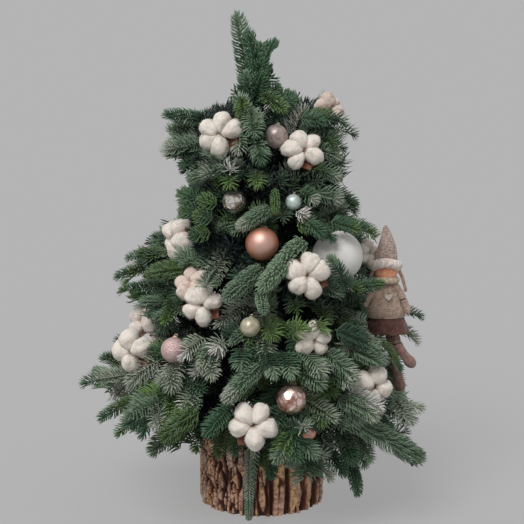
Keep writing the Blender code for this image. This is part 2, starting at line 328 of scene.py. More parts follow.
class Effect(Graph):
    """A shader node group for an effect that several materials use."""

    def __init__(self, name: str, outputs: Sequence[str], **inputs: float) -> None:
        """Start a group with a place, number inputs with their defaults, and number outputs."""
        self.tree = bpy.data.node_groups.new(name, "ShaderNodeTree")
        add = self.tree.interface.new_socket
        add("Vector", in_out="INPUT", socket_type="NodeSocketVector")
        for label, default in inputs.items():
            add(label, in_out="INPUT", socket_type="NodeSocketFloat").default_value = default
        for label in outputs:
            add(label, in_out="OUTPUT", socket_type="NodeSocketFloat")
        self.source = self.tree.nodes.new("NodeGroupInput").outputs
        self.sink = self.tree.nodes.new("NodeGroupOutput").inputs

    @classmethod
    def mottle(cls) -> Effect:
        """Soft patches from 0 to 1, for colour that is never quite even."""
        made = cls("mottle", ["Mask"], Scale=40.0, Detail=4.0)
        cloud = made.node("TexNoise")
        spread = made.node("MapRange", From_Min=0.32, From_Max=0.68)
        for label in ("Vector", "Scale", "Detail"):
            made.link(made.source[label], cloud.inputs[label])
        made.link(cloud.outputs["Fac"], spread.inputs["Value"], spread.outputs["Result"], made.sink["Mask"])
        return made

    @classmethod
    def fibres(cls) -> Effect:
        """Fine tangled strands: the height of felt, wool and cotton."""
        made = cls("fibres", ["Height"], Scale=900.0)
        warp = made.node("TexNoise", Scale=260.0)
        bend = made.node("VectorMath", "MULTIPLY_ADD")
        bend.inputs[1].default_value = (0.004, 0.004, 0.004)
        strands = made.node("TexNoise", Detail=3.0, Distortion=1.6)
        place = made.source["Vector"]
        made.link(place, warp.inputs["Vector"], warp.outputs["Color"], bend.inputs[0], place, bend.inputs[2],
                  bend.outputs["Vector"], strands.inputs["Vector"],
                  made.source["Scale"], strands.inputs["Scale"], strands.outputs["Fac"], made.sink["Height"])
        return made

    @classmethod
    def crackle(cls) -> Effect:
        """Cells with thin cracks between them, as in old silvered glass."""
        made = cls("crackle", ["Crack", "Cell"], Scale=260.0)
        edges, cells = made.node("TexVoronoi", "DISTANCE_TO_EDGE"), made.node("TexVoronoi")
        thin = made.node("MapRange", From_Max=0.12, To_Min=1.0, To_Max=0.0)
        for texture in (edges, cells):
            for label in ("Vector", "Scale"):
                made.link(made.source[label], texture.inputs[label])
        made.link(edges.outputs["Distance"], thin.inputs["Value"], thin.outputs["Result"], made.sink["Crack"],
                  cells.outputs["Distance"], made.sink["Cell"])
        return made

    @classmethod
    def knit(cls) -> Effect:
        """Rows and columns of stitches, from a width and a height in stitches a metre."""
        made = cls("knit", ["Height"], Columns=700.0, Rows=520.0)
        parts, product = made.node("SeparateXYZ"), made.node("Math", "MULTIPLY")
        made.link(made.source["Vector"], parts.inputs["Vector"])
        for index, (axis, count) in enumerate((("X", "Columns"), ("Z", "Rows"))):
            times, wave, size = (made.node("Math", mode) for mode in ("MULTIPLY", "SINE", "ABSOLUTE"))
            made.link(parts.outputs[axis], times.inputs[0], made.source[count], times.inputs[1],
                      times.outputs[0], wave.inputs[0], wave.outputs[0], size.inputs[0],
                      size.outputs[0], product.inputs[index])
        made.link(product.outputs[0], made.sink["Height"])
        return made


NONE = (0.0, 0.0, 0.0)
WHOLE = (1.0, 1.0, 1.0)


class Shader(Graph):
    """One material while it is made."""

    effects: dict[str, Tree] = {}

    def __init__(self, name: str, roughness: float, metallic: float = 0.0) -> None:
        """Start a material with a plain Principled BSDF."""
        self.material = bpy.data.materials.new(name)
        self.material.use_nodes = True
        self.tree = self.material.node_tree
        self.surface = self.tree.nodes["Principled BSDF"]
        self.set(Roughness=roughness, Metallic=metallic)
        self.place = self.node("TexCoord").outputs["Object"]

    def set(self, **inputs: float) -> None:
        """Set the surface's own sockets, with _ for a space in their names."""
        for label, number in inputs.items():
            self.surface.inputs[label.replace("_", " ")].default_value = number

    def colour(self, rgb: Colour, label: str = "Base Color") -> None:
        """Set one even colour, the base colour unless another is named."""
        self.surface.inputs[label].default_value = (*rgb, 1.0)

    def effect(self, kind: str, output: str, **inputs: float) -> Socket:
        """One output of a shared effect at this material's place, with its own values."""
        if kind not in Shader.effects:
            Shader.effects[kind] = getattr(Effect, kind)().tree
        made = self.tree.nodes.new("ShaderNodeGroup")
        made.node_tree = Shader.effects[kind]
        self.link(self.place, made.inputs["Vector"])
        for label, number in inputs.items():
            made.inputs[label].default_value = number
        return made.outputs[output]

    def patches(self, scale: float, detail: float) -> Socket:
        """Soft patches of a scale and a detail, from 0 to 1."""
        return self.effect("mottle", "Mask", Scale=scale, Detail=detail)

    def stored(self, label: str) -> Socket:
        """The number that the piece's points carry under this name."""
        made = self.node("Attribute")
        made.attribute_name = label
        return made.outputs["Fac"]

    def ramp(self, mask: Socket, *stops: tuple[float, Colour]) -> Socket:
        """A colour that runs through stops as a mask goes from 0 to 1."""
        made = self.node("ValToRGB")
        self.link(mask, made.inputs["Fac"])
        band = made.color_ramp.elements
        band[0].position, band[0].color = stops[0][0], (*stops[0][1], 1.0)
        band[1].position, band[1].color = stops[-1][0], (*stops[-1][1], 1.0)
        for position, rgb in stops[1:-1]:
            band.new(position).color = (*rgb, 1.0)
        return made.outputs["Color"]

    def blend(self, mask: Socket | None, first: Socket, second: Socket, mode: str = "MIX") -> Socket:
        """Two colours mixed by a mask, or wholly where there is none."""
        made = self.node("Mix")
        made.data_type = "RGBA"
        made.blend_type = mode
        made.inputs[0].default_value = 1.0
        if mask is not None:
            self.link(mask, made.inputs[0])
        self.link(first, made.inputs[6], second, made.inputs[7])
        return made.outputs[2]

    def bump(self, height: Socket, strength: float, distance: float, after: Socket | None = None) -> Socket:
        """A bump from a height, laid over an earlier one if there is one, on the surface."""
        made = self.node("Bump", Strength=strength, Distance=distance)
        self.link(height, made.inputs["Height"], made.outputs["Normal"], self.surface.inputs["Normal"])
        if after is not None:
            self.link(after, made.inputs["Normal"])
        return made.outputs["Normal"]

    def base(self, colour: Socket) -> None:
        """Link a colour to the surface's base colour."""
        self.link(colour, self.surface.inputs["Base Color"])

    def worn(self, mask: Socket, dark: Colour, light: Colour, full: float) -> None:
        """Run the base colour from dark to light, fully light from where the mask is full."""
        self.base(self.ramp(mask, (0.0, dark), (full, light)))

    def rough(self, mask: Socket, low: float, high: float) -> None:
        """Run the roughness from low to high with a mask."""
        made = self.node("MapRange", To_Min=low, To_Max=high)
        self.link(mask, made.inputs["Value"], made.outputs["Result"], self.surface.inputs["Roughness"])


class Tint(Enum):
    """Colours of the needles, each as its upper and its under side."""

    # The first tint is painted shade: near-black needles for the inside of the crown, so the gaps between sprays
    # read dark. The second, a dark green of its own, also serves as painted shade deep in the crown.
    DEEP = ((0.014, 0.027, 0.028), (0.028, 0.042, 0.042))
    DUSK = ((0.04, 0.084, 0.052), (0.085, 0.125, 0.092))
    PINE = ((0.074, 0.146, 0.082), (0.13, 0.19, 0.135))
    MOSS = ((0.105, 0.175, 0.068), (0.15, 0.205, 0.11))
    FRESH = ((0.155, 0.255, 0.085), (0.19, 0.275, 0.125))
    SEA = ((0.172, 0.252, 0.166), (0.26, 0.33, 0.248))
    JADE = ((0.235, 0.33, 0.215), (0.32, 0.41, 0.305))
    FROST = ((0.34, 0.385, 0.3), (0.5, 0.515, 0.44))
    SNOW = ((0.64, 0.63, 0.59), (0.7, 0.69, 0.66))


class Finish:
    """A finish that is made once and shared by all pieces that have it."""

    made: dict[Finish, Material] = {}

    def build(self) -> Material:
        """Its material, made when it is first asked for."""
        if self not in Finish.made:
            Finish.made[self] = self.shade().material
        return Finish.made[self]

    def shade(self) -> Shader:
        """Make its nodes."""
        raise NotImplementedError


@dataclass(frozen=True)
class PlainFinish(Finish):
    """One plain colour: a side of a needle, a young twig or a bud."""

    name: str
    rgb: Colour
    roughness: float = 0.75
    specular: float = 0.5

    def shade(self) -> Shader:
        """Make its nodes."""
        shader = Shader(self.name, self.roughness)
        shader.colour(self.rgb)
        shader.set(Specular_IOR_Level=self.specular)
        return shader


@dataclass(frozen=True)
class LimbFinish(Finish):
    """Bark of the trunk and the boughs: grey brown and mottled, with a fine bumpy relief."""

    light: Colour = (0.23, 0.165, 0.11)
    dark: Colour = (0.075, 0.05, 0.034)

    def shade(self) -> Shader:
        """Make its nodes."""
        shader = Shader("limb_bark", 0.88)
        patches = shader.patches(110.0, 6.0)
        shader.worn(patches, self.dark, self.light, 0.55)
        shader.bump(patches, 0.5, 0.0008)
        return shader


@dataclass(frozen=True)
class LogBarkFinish(Finish):
    """Furrowed bark, coloured by the depth and the tone that the mesh carries: darker with depth, partly its own
    inner bark and partly painted shade in the furrows.
    """

    # Colours of the furrow floor and its slopes: partly the bark's own, partly painted shade.
    furrow: Colour = (0.052, 0.02, 0.017)
    slope: Colour = (0.255, 0.09, 0.056)
    golden: Colour = (0.9, 0.57, 0.32)
    rosy: Colour = (0.76, 0.45, 0.31)
    grey: Colour = (0.64, 0.48, 0.37)
    stained: Colour = (0.46, 0.38, 0.34)
    bleached: Colour = (1.35, 1.29, 1.18)

    def shade(self) -> Shader:
        """Make its nodes."""
        shader = Shader("log_bark", 0.92)
        depth = shader.stored("bark_depth")
        ridge = shader.ramp(shader.stored("bark_tone"), (0.15, self.grey), (0.45, self.rosy), (0.8, self.golden))
        wear = shader.ramp(shader.patches(260.0, 7.0), (0.0, self.stained), (0.55, WHOLE), (1.0, self.bleached))
        # Deeper bark runs to near-black: partly the darker inner bark, partly painted shade in the furrows.
        low = shader.ramp(depth, (0.35, self.slope), (0.85, self.furrow))
        mask = shader.ramp(depth, (0.12, NONE), (0.5, WHOLE))
        shader.base(shader.blend(mask, shader.blend(None, ridge, wear, "MULTIPLY"), low))
        shader.bump(shader.patches(620.0, 6.0), 0.7, 0.0012)
        return shader


@dataclass(frozen=True)
class CutWoodFinish(Finish):
    """Sawn end of the log: pale rings round its heart."""

    early: Colour = (0.56, 0.4, 0.24)
    late: Colour = (0.33, 0.2, 0.105)

    def shade(self) -> Shader:
        """Make its nodes."""
        shader = Shader("cut_wood", 0.8)
        rings = shader.node("TexWave", Scale=95.0, Distortion=1.6, Detail=3.0)
        rings.wave_type = "RINGS"
        rings.rings_direction = "Z"
        shader.link(shader.place, rings.inputs["Vector"])
        shader.base(shader.ramp(rings.outputs["Fac"], (0.0, self.early), (0.7, self.early), (1.0, self.late)))
        shader.bump(rings.outputs["Fac"], 0.2, 0.0004)
        return shader


@dataclass(frozen=True)
class LintFinish(Finish):
    """Raw cotton: off-white, matt and finely stranded, turned brown in its clefts as painted shade."""

    name: str
    shadow: Colour
    white: Colour
    # The brown of the painted shade in the clefts.
    cleft_shade: Colour = (0.36, 0.215, 0.15)

    def shade(self) -> Shader:
        """Make its nodes."""
        shader = Shader(self.name, 0.98)
        patches = shader.patches(120.0, 5.0)
        lint = shader.ramp(patches, (0.0, self.shadow), (0.5, self.white), (1.0, self.white))
        # Towards the cleft the lint runs to brown: painted shade where the lobes meet.
        cleft = shader.stored("cleft")
        depth = shader.ramp(cleft, (0.0, self.white), (1.0, self.cleft_shade))
        shader.base(shader.blend(shader.ramp(cleft, (0.05, NONE), (1.0, (0.85, 0.85, 0.85))), lint, depth))
        shader.set(Sheen_Weight=0.35, Sheen_Roughness=0.6, Specular_IOR_Level=0.1,
                   Subsurface_Weight=0.12, Subsurface_Scale=0.004)
        soft = shader.bump(patches, 0.14, 0.0012)
        shader.bump(shader.effect("fibres", "Height", Scale=1100.0), 0.55, 0.0006, soft)
        return shader


@dataclass(frozen=True)
class HuskFinish(Finish):
    """Dry husk of a boll: brown and streaked, paler at its worn parts."""

    dark: Colour = (0.09, 0.032, 0.018)
    tan: Colour = (0.23, 0.09, 0.05)

    def shade(self) -> Shader:
        """Make its nodes."""
        shader = Shader("husk", 0.7)
        patches = shader.patches(300.0, 5.0)
        shader.worn(patches, self.dark, self.tan, 1.0)
        shader.bump(patches, 0.4, 0.0005)
        return shader


class Glaze(Enum):
    """Kinds of surface on the balls."""

    SATIN = "satin"
    CRACKLE = "crackle"
    PEARL = "pearl"
    GLITTER = "glitter"
    CHALK = "chalk"


@dataclass(frozen=True)
class BallFinish(Finish):
    """Surface of a ball: its glaze, its light and dark colours, its flakes a metre and its film's roughness."""

    name: str
    glaze: Glaze
    light: Colour
    dark: Colour
    flakes: float = 230.0
    film: float = 0.12

    def shade(self) -> Shader:
        """Make the nodes of this glaze."""
        return getattr(self, self.glaze.value)()

    def satin(self) -> Shader:
        """Brushed metal film, a little uneven in its gloss, with a painted highlight and painted shade in its
        colour.
        """
        shader = Shader(self.name, 0.48, 0.85)
        # By Layer Weight facing, the base colour runs from a pale painted highlight where the ball faces the camera
        # to a darker rim as painted shade.
        edge = shader.node("LayerWeight", Blend=0.4)
        pale = tuple(0.75 * part + 0.25 * 0.66 for part in self.light)
        shader.base(shader.ramp(edge.outputs["Facing"], (0.02, pale), (0.22, self.light), (0.7, self.dark)))
        shader.rough(shader.patches(90.0, 4.0), 0.44, 0.56)
        return shader

    def crackle(self) -> Shader:
        """Silvered glass whose film has cracked into flakes."""
        shader = Shader(self.name, 0.16, 0.95)
        crack, cell = (shader.effect("crackle", label, Scale=self.flakes) for label in ("Crack", "Cell"))
        tone = shader.patches(0.7 * self.flakes, 3.0)
        film = shader.ramp(tone, (0.1, self.dark), (0.55, self.light), (1.0, self.light))
        shader.base(shader.blend(crack, film, shader.ramp(crack, (0.0, self.dark), (1.0, self.dark))))
        shader.rough(crack, self.film, 0.5)
        shader.bump(cell, 0.55, 0.28 / self.flakes)
        return shader

    def pearl(self) -> Shader:
        """Pearly lacquer over a soft dimpled ground."""
        shader = Shader(self.name, 0.38, 0.25)
        patches = shader.patches(210.0, 3.0)
        shader.worn(patches, self.dark, self.light, 0.7)
        shader.set(Coat_Weight=0.45, Coat_Roughness=0.2)
        shader.bump(patches, 0.25, 0.0006)
        return shader

    def glitter(self) -> Shader:
        """Fine grains of glitter glued all over."""
        shader = Shader(self.name, 0.45, 0.45)
        grains = shader.effect("crackle", "Cell", Scale=900.0)
        shader.base(shader.ramp(grains, (0.0, self.light), (0.6, self.light), (0.9, self.dark)))
        shader.bump(grains, 0.8, 0.0007)
        return shader

    def chalk(self) -> Shader:
        """Matt lacquer as dry as chalk, with a fine tooth."""
        shader = Shader(self.name, 0.85)
        shader.worn(shader.patches(60.0, 6.0), self.dark, self.light, 0.6)
        shader.bump(shader.patches(1500.0, 2.0), 0.3, 0.0003)
        return shader


@dataclass(frozen=True)
class MetalFinish(Finish):
    """Thin gilded or plain metal of caps, loops and wires."""

    name: str
    rgb: Colour
    roughness: float = 0.35

    def shade(self) -> Shader:
        """Make its nodes."""
        shader = Shader(self.name, self.roughness, 1.0)
        shader.worn(shader.patches(400.0, 4.0), tuple(0.7 * part for part in self.rgb), self.rgb, 0.6)
        return shader


class Cloth(Enum):
    """Kinds of cloth on the doll, each with its flecks a metre and whether stitches show."""

    FELT = (220.0, False)
    KNIT = (300.0, True)
    TWEED = (420.0, True)
    PLUSH = (380.0, False)


@dataclass(frozen=True)
class ClothFinish(Finish):
    """Cloth of the doll: its kind and its light and dark colours."""

    name: str
    cloth: Cloth
    light: Colour
    dark: Colour

    def shade(self) -> Shader:
        """Make its nodes."""
        flecks, stitched = self.cloth.value
        shader = Shader(self.name, 0.95)
        shader.set(Sheen_Weight=0.3, Sheen_Roughness=0.5, Specular_IOR_Level=0.15)
        shader.base(shader.ramp(shader.patches(flecks, 5.0), (0.1, self.dark), (0.8, self.light)))
        lint = shader.bump(shader.effect("fibres", "Height", Scale=1500.0), 0.6, 0.0007)
        if stitched:
            shader.bump(shader.effect("knit", "Height", Columns=2300.0, Rows=1700.0), 0.7, 0.0009, lint)
        return shader


# The crown's rule

GAP = 0.0003                    # between two pieces that meet
LOG_RADIUS = 0.0755
LOG_HEIGHT = 0.085
SOCKET_FLOOR = 0.045
SOCKET_RADIUS = 0.0128
TRUNK_FOOT = SOCKET_FLOOR + GAP
TRUNK_TIP = 0.47
TRUNK_FOOT_RADIUS = SOCKET_RADIUS - GAP
TRUNK_TIP_RADIUS = 0.0035
TRUNK_LEAN = -0.014
FLARE = 0.0045
FLARE_HEIGHT = 0.03

BOUGH_ROOT_RADIUS = 0.0044
BOUGH_TIP_RADIUS = 0.003
ROOT_STAGGER = 0.026
TIP_STAGGER = 0.03
GOLDEN = 0.618
GOLDEN_ANGLE = math.radians(137.5)
TURN_CHANCE = 4.0
REACH_CHANCE = 0.03
ARCH_PLACE = 0.55

STEM_RADIUS = 0.0026
ROOT_DEPTH = 0.0024
FORWARD_BEND = 0.22
PAIRS = 2
FIRST_PLACE = (0.24, 0.14)
LAST_PLACE = 0.47
SIDE_ANGLES = (44.0, 62.0)
SIDE_LIFTS = (-22.0, 14.0)
SIDE_LENGTHS = (0.9, 1.12)
SIDE_SHORTENING = 0.3
CREST_PLACES = (0.3, 0.42)
CREST_ANGLE = math.radians(52)
CREST_LENGTH = 0.046
TIP_REACH = 0.011


class Tier(NamedTuple):
    """One whorl of boughs. Pairs of values are for the left and the right of the tree.

    Attributes:
        root: The height at which its boughs leave the trunk.
        tips: The heights of their tips.
        reaches: How far the tips stand from the trunk's foot.
        count: How many boughs it has.
        phase: The azimuth of the first, in degrees.
        arch: How far a bough bows up.
        limb: The share of a bough that is bare.
        side_length: The length of a side shoot at the bough's foot.
    """

    name: str
    root: float
    tips: tuple[float, float]
    reaches: tuple[float, float]
    count: int
    phase: float
    arch: float
    limb: float
    side_length: float


TIERS = (
    Tier("collar", 0.425, (0.462, 0.448), (0.107, 0.107), 5, 180.0, 0.01, 0.0, 0.046),
    Tier("shoulder", 0.392, (0.408, 0.4), (0.11, 0.1), 6, 0.0, 0.022, 0.0, 0.054),
    Tier("breast", 0.362, (0.332, 0.34), (0.088, 0.112), 6, 30.0, 0.04, 0.0, 0.06),
    Tier("waist", 0.318, (0.248, 0.276), (0.17, 0.146), 6, 0.0, 0.052, 0.0, 0.068),
    Tier("hip", 0.268, (0.2, 0.198), (0.174, 0.166), 6, 30.0, 0.058, 0.3, 0.072),
    Tier("hem", 0.214, (0.124, 0.1), (0.218, 0.192), 7, 180.0, 0.062, 0.3, 0.074),
    Tier("skirt", 0.144, (0.086, 0.056), (0.176, 0.19), 6, -10.0, 0.056, 0.0, 0.064),
)
SPRIGS = {
    "front_sprig": ((0.0, -0.016, 0.118), (-0.004, -0.124, 0.15), (-0.014, -0.103, 0.014)),
    "right_sprig": ((0.01, -0.012, 0.12), (0.082, -0.076, 0.15), (0.112, -0.092, 0.032)),
}
LEADER_TIP = Vector((-0.029, 0.0, 0.574))
LEADER_BOW = Vector((0.004, 0.0, 0.0))
# Of the leader's shoots: the place, the degrees to the right and the length, and for the finer ones
# the place, the side, the lift in radians and the length.
LEADER_SPRAYS = ((0.15, 24.0, 0.061), (0.07, 47.0, 0.048), (0.1, -60.0, 0.03))
LEADER_SHOOTS = ((0.3, 1, 0.15, 0.05), (0.02, 1, 0.5, 0.045), (0.02, -1, 0.8, 0.024), (0.04, 1, -0.6, 0.04),
                 (0.16, 1, 0.4, 0.044), (0.02, -1, -0.8, 0.024), (0.1, 0, 0.5, 0.036))
LEADER_SHOOT_ANGLE = math.radians(30)


class Habit(NamedTuple):
    """How needles stand on a spray.

    Attributes:
        length: A needle's length in metres.
        angle: Its angle to the stem, in degrees.
        ranks: Where the rows of needles stand, in degrees from the upper side.
        pitch: The distance between the needles of a row, in metres.
        sweep: How far the outer half curls up.
        lean: How far the outer half curls forward.
        half_width: Half a needle's width, in metres.
    """

    length: float
    angle: float
    ranks: tuple[float, ...]
    pitch: float
    sweep: float
    lean: float
    half_width: float


class Style(Enum):
    """The habits found on one tree."""

    COMB = Habit(0.019, 63.0, (-100, 100, -64, 64, -24, 24), 0.0034, 0.26, 0.4, 0.00102)
    BRUSH = Habit(0.015, 42.0, (-92, 92, -56, 56, -20, 20), 0.0031, 0.05, 0.45, 0.00096)
    ROUND = Habit(0.015, 66.0, (-98, 98, -62, 62, -26, 26, 0), 0.0036, 0.12, 0.8, 0.00105)
    CLOSED = Habit(0.0165, 70.0, (-104, 104, -74, 74, -44, 44, -15, 15), 0.0028, 0.1, 1.1, 0.00105)
    STAR = Habit(0.021, 58.0, (-112, 112, -76, 76, -38, 38, 0, -150, 150), 0.0044, 0.12, 0.4, 0.001)


COMB, BRUSH, ROUND, CLOSED, STAR = Style
DEEP, DUSK, PINE, MOSS, FRESH, SEA, JADE, FROST, SNOW = Tint


class Spray(NamedTuple):
    """One leafy shoot: its curve, its upper side and how its needles stand and are tinted.

    Attributes:
        stem: The radius of its stem.
        bare: The share of its stem without needles.
        thin: How many times as far as usual its needles stand apart.
        left: How many times as long as the others the needles at its left are.
        size: How many times as long as usual all its needles are.
    """

    curve: Curve
    up: Vector
    style: Style
    tint: Tint
    tip_tint: Tint
    stem: float
    bare: float = 0.05
    thin: float = 1.0
    left: float = 1.0
    size: float = 1.0

    def frames(self, share: np.ndarray) -> tuple[np.ndarray, ...]:
        """Points, headings, upper sides and right sides at many shares of its curve."""
        start, bend, tip = (np.array(point) for point in self.curve)
        s = share[:, None]
        points = (1 - s) ** 2 * start + 2 * (1 - s) * s * bend + s ** 2 * tip
        ahead = unit((1 - s) * (bend - start) + s * (tip - bend))
        above = np.array(self.up)
        above = unit(above - (ahead @ above)[:, None] * ahead)
        return points, ahead, above, np.cross(ahead, above)


@dataclass
class Mass:
    """One bough's foliage: the node it stands for, its bare limb, its spine and its sprays."""

    name: str
    limb: Curve | None
    spine: Curve
    sprays: list[Spray] = field(default_factory=list)


def trunk_centre(z: float) -> Vector:
    """The middle of the leaning trunk at height z."""
    share = max(0.0, (z - LOG_HEIGHT) / (TRUNK_TIP - LOG_HEIGHT))
    return Vector((TRUNK_LEAN * share * share, 0.0, z))


def trunk_radius(z: float) -> float:
    """The trunk's radius at height z, with its flare just above the log."""
    share = (z - TRUNK_FOOT) / (TRUNK_TIP - TRUNK_FOOT)
    radius = TRUNK_FOOT_RADIUS + (TRUNK_TIP_RADIUS - TRUNK_FOOT_RADIUS) * share
    above = (z - LOG_HEIGHT) / FLARE_HEIGHT
    if 0.0 < above < 1.0:
        radius += FLARE * (1.0 - above) ** 2
    return radius


def off_trunk(azimuth: float, z: float, direction: Vector, radius: float) -> Vector:
    """Where a stem of this radius leaves the trunk's wall, just clear of it."""
    outward = round_z(azimuth)
    across = sideways(direction, UP) * radius
    above = across.cross(direction.normalized())
    start = trunk_centre(z) + outward * trunk_radius(z)
    ends = [start, start + across, start - across, start + above, start - above]
    clear = min((end - trunk_centre(end.z)).length - trunk_radius(end.z) for end in ends)
    return start + outward * (GAP - clear)


def upper_side(spine: Curve) -> Vector:
    """The unit vector square to a spine that points most nearly up."""
    middle = heading(spine, 0.5)
    return sideways(middle, UP).cross(middle).normalized()


def side_shoot(spine: Curve, up: Vector, place: float, side: float, angle: float, lift: float,
               length: float) -> Shoot:
    """The curve and upper side of a shoot that leaves a spine.

    Args:
        spine: The curve it leaves.
        up: The spine's upper side.
        place: Where along the spine it leaves.
        side: 1 for the right, -1 for the left, 0 for straight on.
        angle: How far it turns sideways, in radians.
        lift: How far it turns up, in radians.
        length: Its length in metres.

    Returns:
        Its curve and its own upper side.
    """
    ahead = heading(spine, place)
    across = sideways(ahead, up) * side
    flat = ahead * math.cos(angle) + across * math.sin(angle)
    direction = (flat * math.cos(lift) + up * math.sin(lift)).normalized()
    root = along(spine, place)
    start = root - direction * ROOT_DEPTH
    bend = root + direction * (0.5 * length)
    tip = root + direction * length + ahead * (FORWARD_BEND * length)
    own_up = (up * 0.5 - ahead) if side == 0 else up
    own_up = (own_up - direction * own_up.dot(direction)).normalized()
    return (start, bend, tip), own_up


def rule_shoots(spine: Curve, tier: Tier, rng: random.Random) -> list[Shoot]:
    """The side shoots and the crest that the solid masses also have, in the same places."""
    up = upper_side(spine)
    shoots = []
    first = FIRST_PLACE[bool(tier.limb)]
    for pair in range(PAIRS):
        place = first + (LAST_PLACE - first) * pair / (PAIRS - 1)
        for side in (1, -1):
            angle, lift = drawn(rng, SIDE_ANGLES), drawn(rng, SIDE_LIFTS)
            length = tier.side_length * (1.0 - SIDE_SHORTENING * place) * rng.uniform(*SIDE_LENGTHS)
            shoots.append(side_shoot(spine, up, place, side, angle, lift, length))
    place = rng.uniform(*CREST_PLACES)
    shoots.append(side_shoot(spine, up, place, 0, CREST_ANGLE, CREST_ANGLE, CREST_LENGTH))
    return shoots


def tier_spines(tier: Tier) -> list[tuple[str, Curve | None, Curve, random.Random]]:
    """Each mass of a tier: its node, its limb, its spine and its own chance."""
    rows = []
    for index in range(tier.count):
        rng = random.Random(f"{SEED}-{tier.name}-{index}")
        degrees = tier.phase + 360.0 * index / tier.count + rng.uniform(-TURN_CHANCE, TURN_CHANCE)
        azimuth = math.radians(degrees)
        outward = round_z(azimuth)
        to_right = 0.5 + 0.5 * outward.x
        reach = tier.reaches[0] + (tier.reaches[1] - tier.reaches[0]) * to_right
        reach *= 1.0 + rng.uniform(-REACH_CHANCE, REACH_CHANCE)
        height = tier.tips[0] + (tier.tips[1] - tier.tips[0]) * to_right
        stagger = index * GOLDEN % 1.0 - 0.5
        tip = outward * reach + UP * (height + TIP_STAGGER * stagger)
        foot = trunk_centre(tier.root + ROOT_STAGGER * stagger)
        bend = foot.lerp(tip, ARCH_PLACE) + UP * tier.arch
        stem = BOUGH_ROOT_RADIUS if tier.limb else STEM_RADIUS
        spine = (off_trunk(azimuth, foot.z, bend - foot, stem), bend, tip)
        limb = None
        if tier.limb:
            limb, (start, bend, tip) = split(spine, tier.limb)
            spine = (start + heading(limb, 1.0) * GAP, bend, tip)
        rows.append((f"{tier.name}_{index + 1}", limb, spine, rng))
    return rows


# Foliage

CROWN_RADII = ((0.03, 0.17), (0.05, 0.185), (0.1, 0.195), (0.14, 0.195), (0.2, 0.175), (0.26, 0.158),
               (0.3, 0.135), (0.34, 0.112), (0.4, 0.102), (0.46, 0.1), (0.5, 0.05), (0.58, 0.01))


def crown_radius(z: float) -> float:
    """How far the crown reaches at height z."""
    heights, radii = zip(*CROWN_RADII)
    return float(np.interp(z, heights, radii))


def frost_share(point: Vector) -> float:
    """How likely frost is at a place: most of it lies low at the left and the right."""
    low_left = smooth(0.3, 0.14, point.z) * smooth(0.0, -0.1, point.x)
    low_right = smooth(0.24, 0.1, point.z) * smooth(0.02, 0.09, point.x)
    return 0.05 + 0.36 * low_left + 0.36 * low_right


def deal_tints(point: Vector, inner: bool, rng: random.Random) -> tuple[Tint, Tint]:
    """The tints of a spray and of its tip, by place and by chance.

    Args:
        point: The spray's tip.
        inner: Whether it lies deep in the crown; then it takes the near-black painted-shade tint.
        rng: The mass's chance.

    Returns:
        The tint of most needles, then that of the last ones.
    """
    chance = rng.random()
    # Inner sprays, and sprays deep inside the crown's outline, take dark tints as painted shade.
    if inner:
        return DEEP, DEEP
    deep = rng.uniform(0.62, 0.76) if point.z < 0.46 else 0.0
    if math.hypot(point.x, point.y) < crown_radius(point.z) * deep:
        return (DEEP, DUSK) if chance < 0.6 else (DUSK, DUSK)
    frosty = frost_share(point)
    if chance < frosty:
        tint = FROST if rng.random() < 0.72 else SEA
        return tint, SNOW if rng.random() < 0.14 else FROST
    chance = (chance - frosty) / (1.0 - frosty)
    tint = pick(chance, (0.42, PINE), (0.48, DUSK), (0.8, SEA), (0.94, MOSS), (1.0, FRESH))
    fresh = FRESH if tint in (MOSS, FRESH) else MOSS
    return tint, pick(rng.random(), (0.16, fresh), (0.4, SEA), (0.5, FROST), (1.0, tint))


NEEDLE_FACES = np.array([[0, 2, 5], [0, 5, 3], [2, 1, 4], [2, 4, 5], [3, 5, 6], [5, 4, 6],
                         [0, 3, 4], [0, 4, 1], [4, 3, 6]])
NEEDLE_SIDES = np.array([0, 0, 0, 0, 0, 0, 1, 1, 1])


def blades(name: str, points: np.ndarray, slots: np.ndarray, sides: np.ndarray = NEEDLE_SIDES) -> Piece:
    """Needles as one object.

    Args:
        name: The object's name.
        points: Seven points a needle: three at its root, three at its bend and its tip.
        slots: The material slot of each needle's upper side.
        sides: What is added to it for each of a needle's faces.

    Returns:
        The object.
    """
    faces = NEEDLE_FACES[None] + (np.arange(len(points)) * 7)[:, None, None]
    slots = slots[:, None] + sides[None]
    return arrays_to_mesh(name, points.reshape(-1, 3), faces.reshape(-1, 3), slots.ravel())


def closed_tubes(name: str, rows: Sequence[np.ndarray]) -> Piece:
    """Closed tubes, each from its rings of points, joined into one object."""
    points, faces, total = [], [], 0
    for row in rows:
        rings, sides, _ = row.shape
        points.append(row.reshape(-1, 3))
        for ring in range(rings - 1):
            for side in range(sides):
                low, next_low = total + ring * sides + side, total + ring * sides + (side + 1) % sides
                faces += ((low, next_low, next_low + sides), (low, next_low + sides, low + sides))
        last = total + (rings - 1) * sides
        for side in range(1, sides - 1):
            faces += ((total, total + side + 1, total + side), (last, last + side, last + side + 1))
        total += rings * sides
    return arrays_to_mesh(name, np.concatenate(points), np.array(faces), np.zeros(len(faces)))


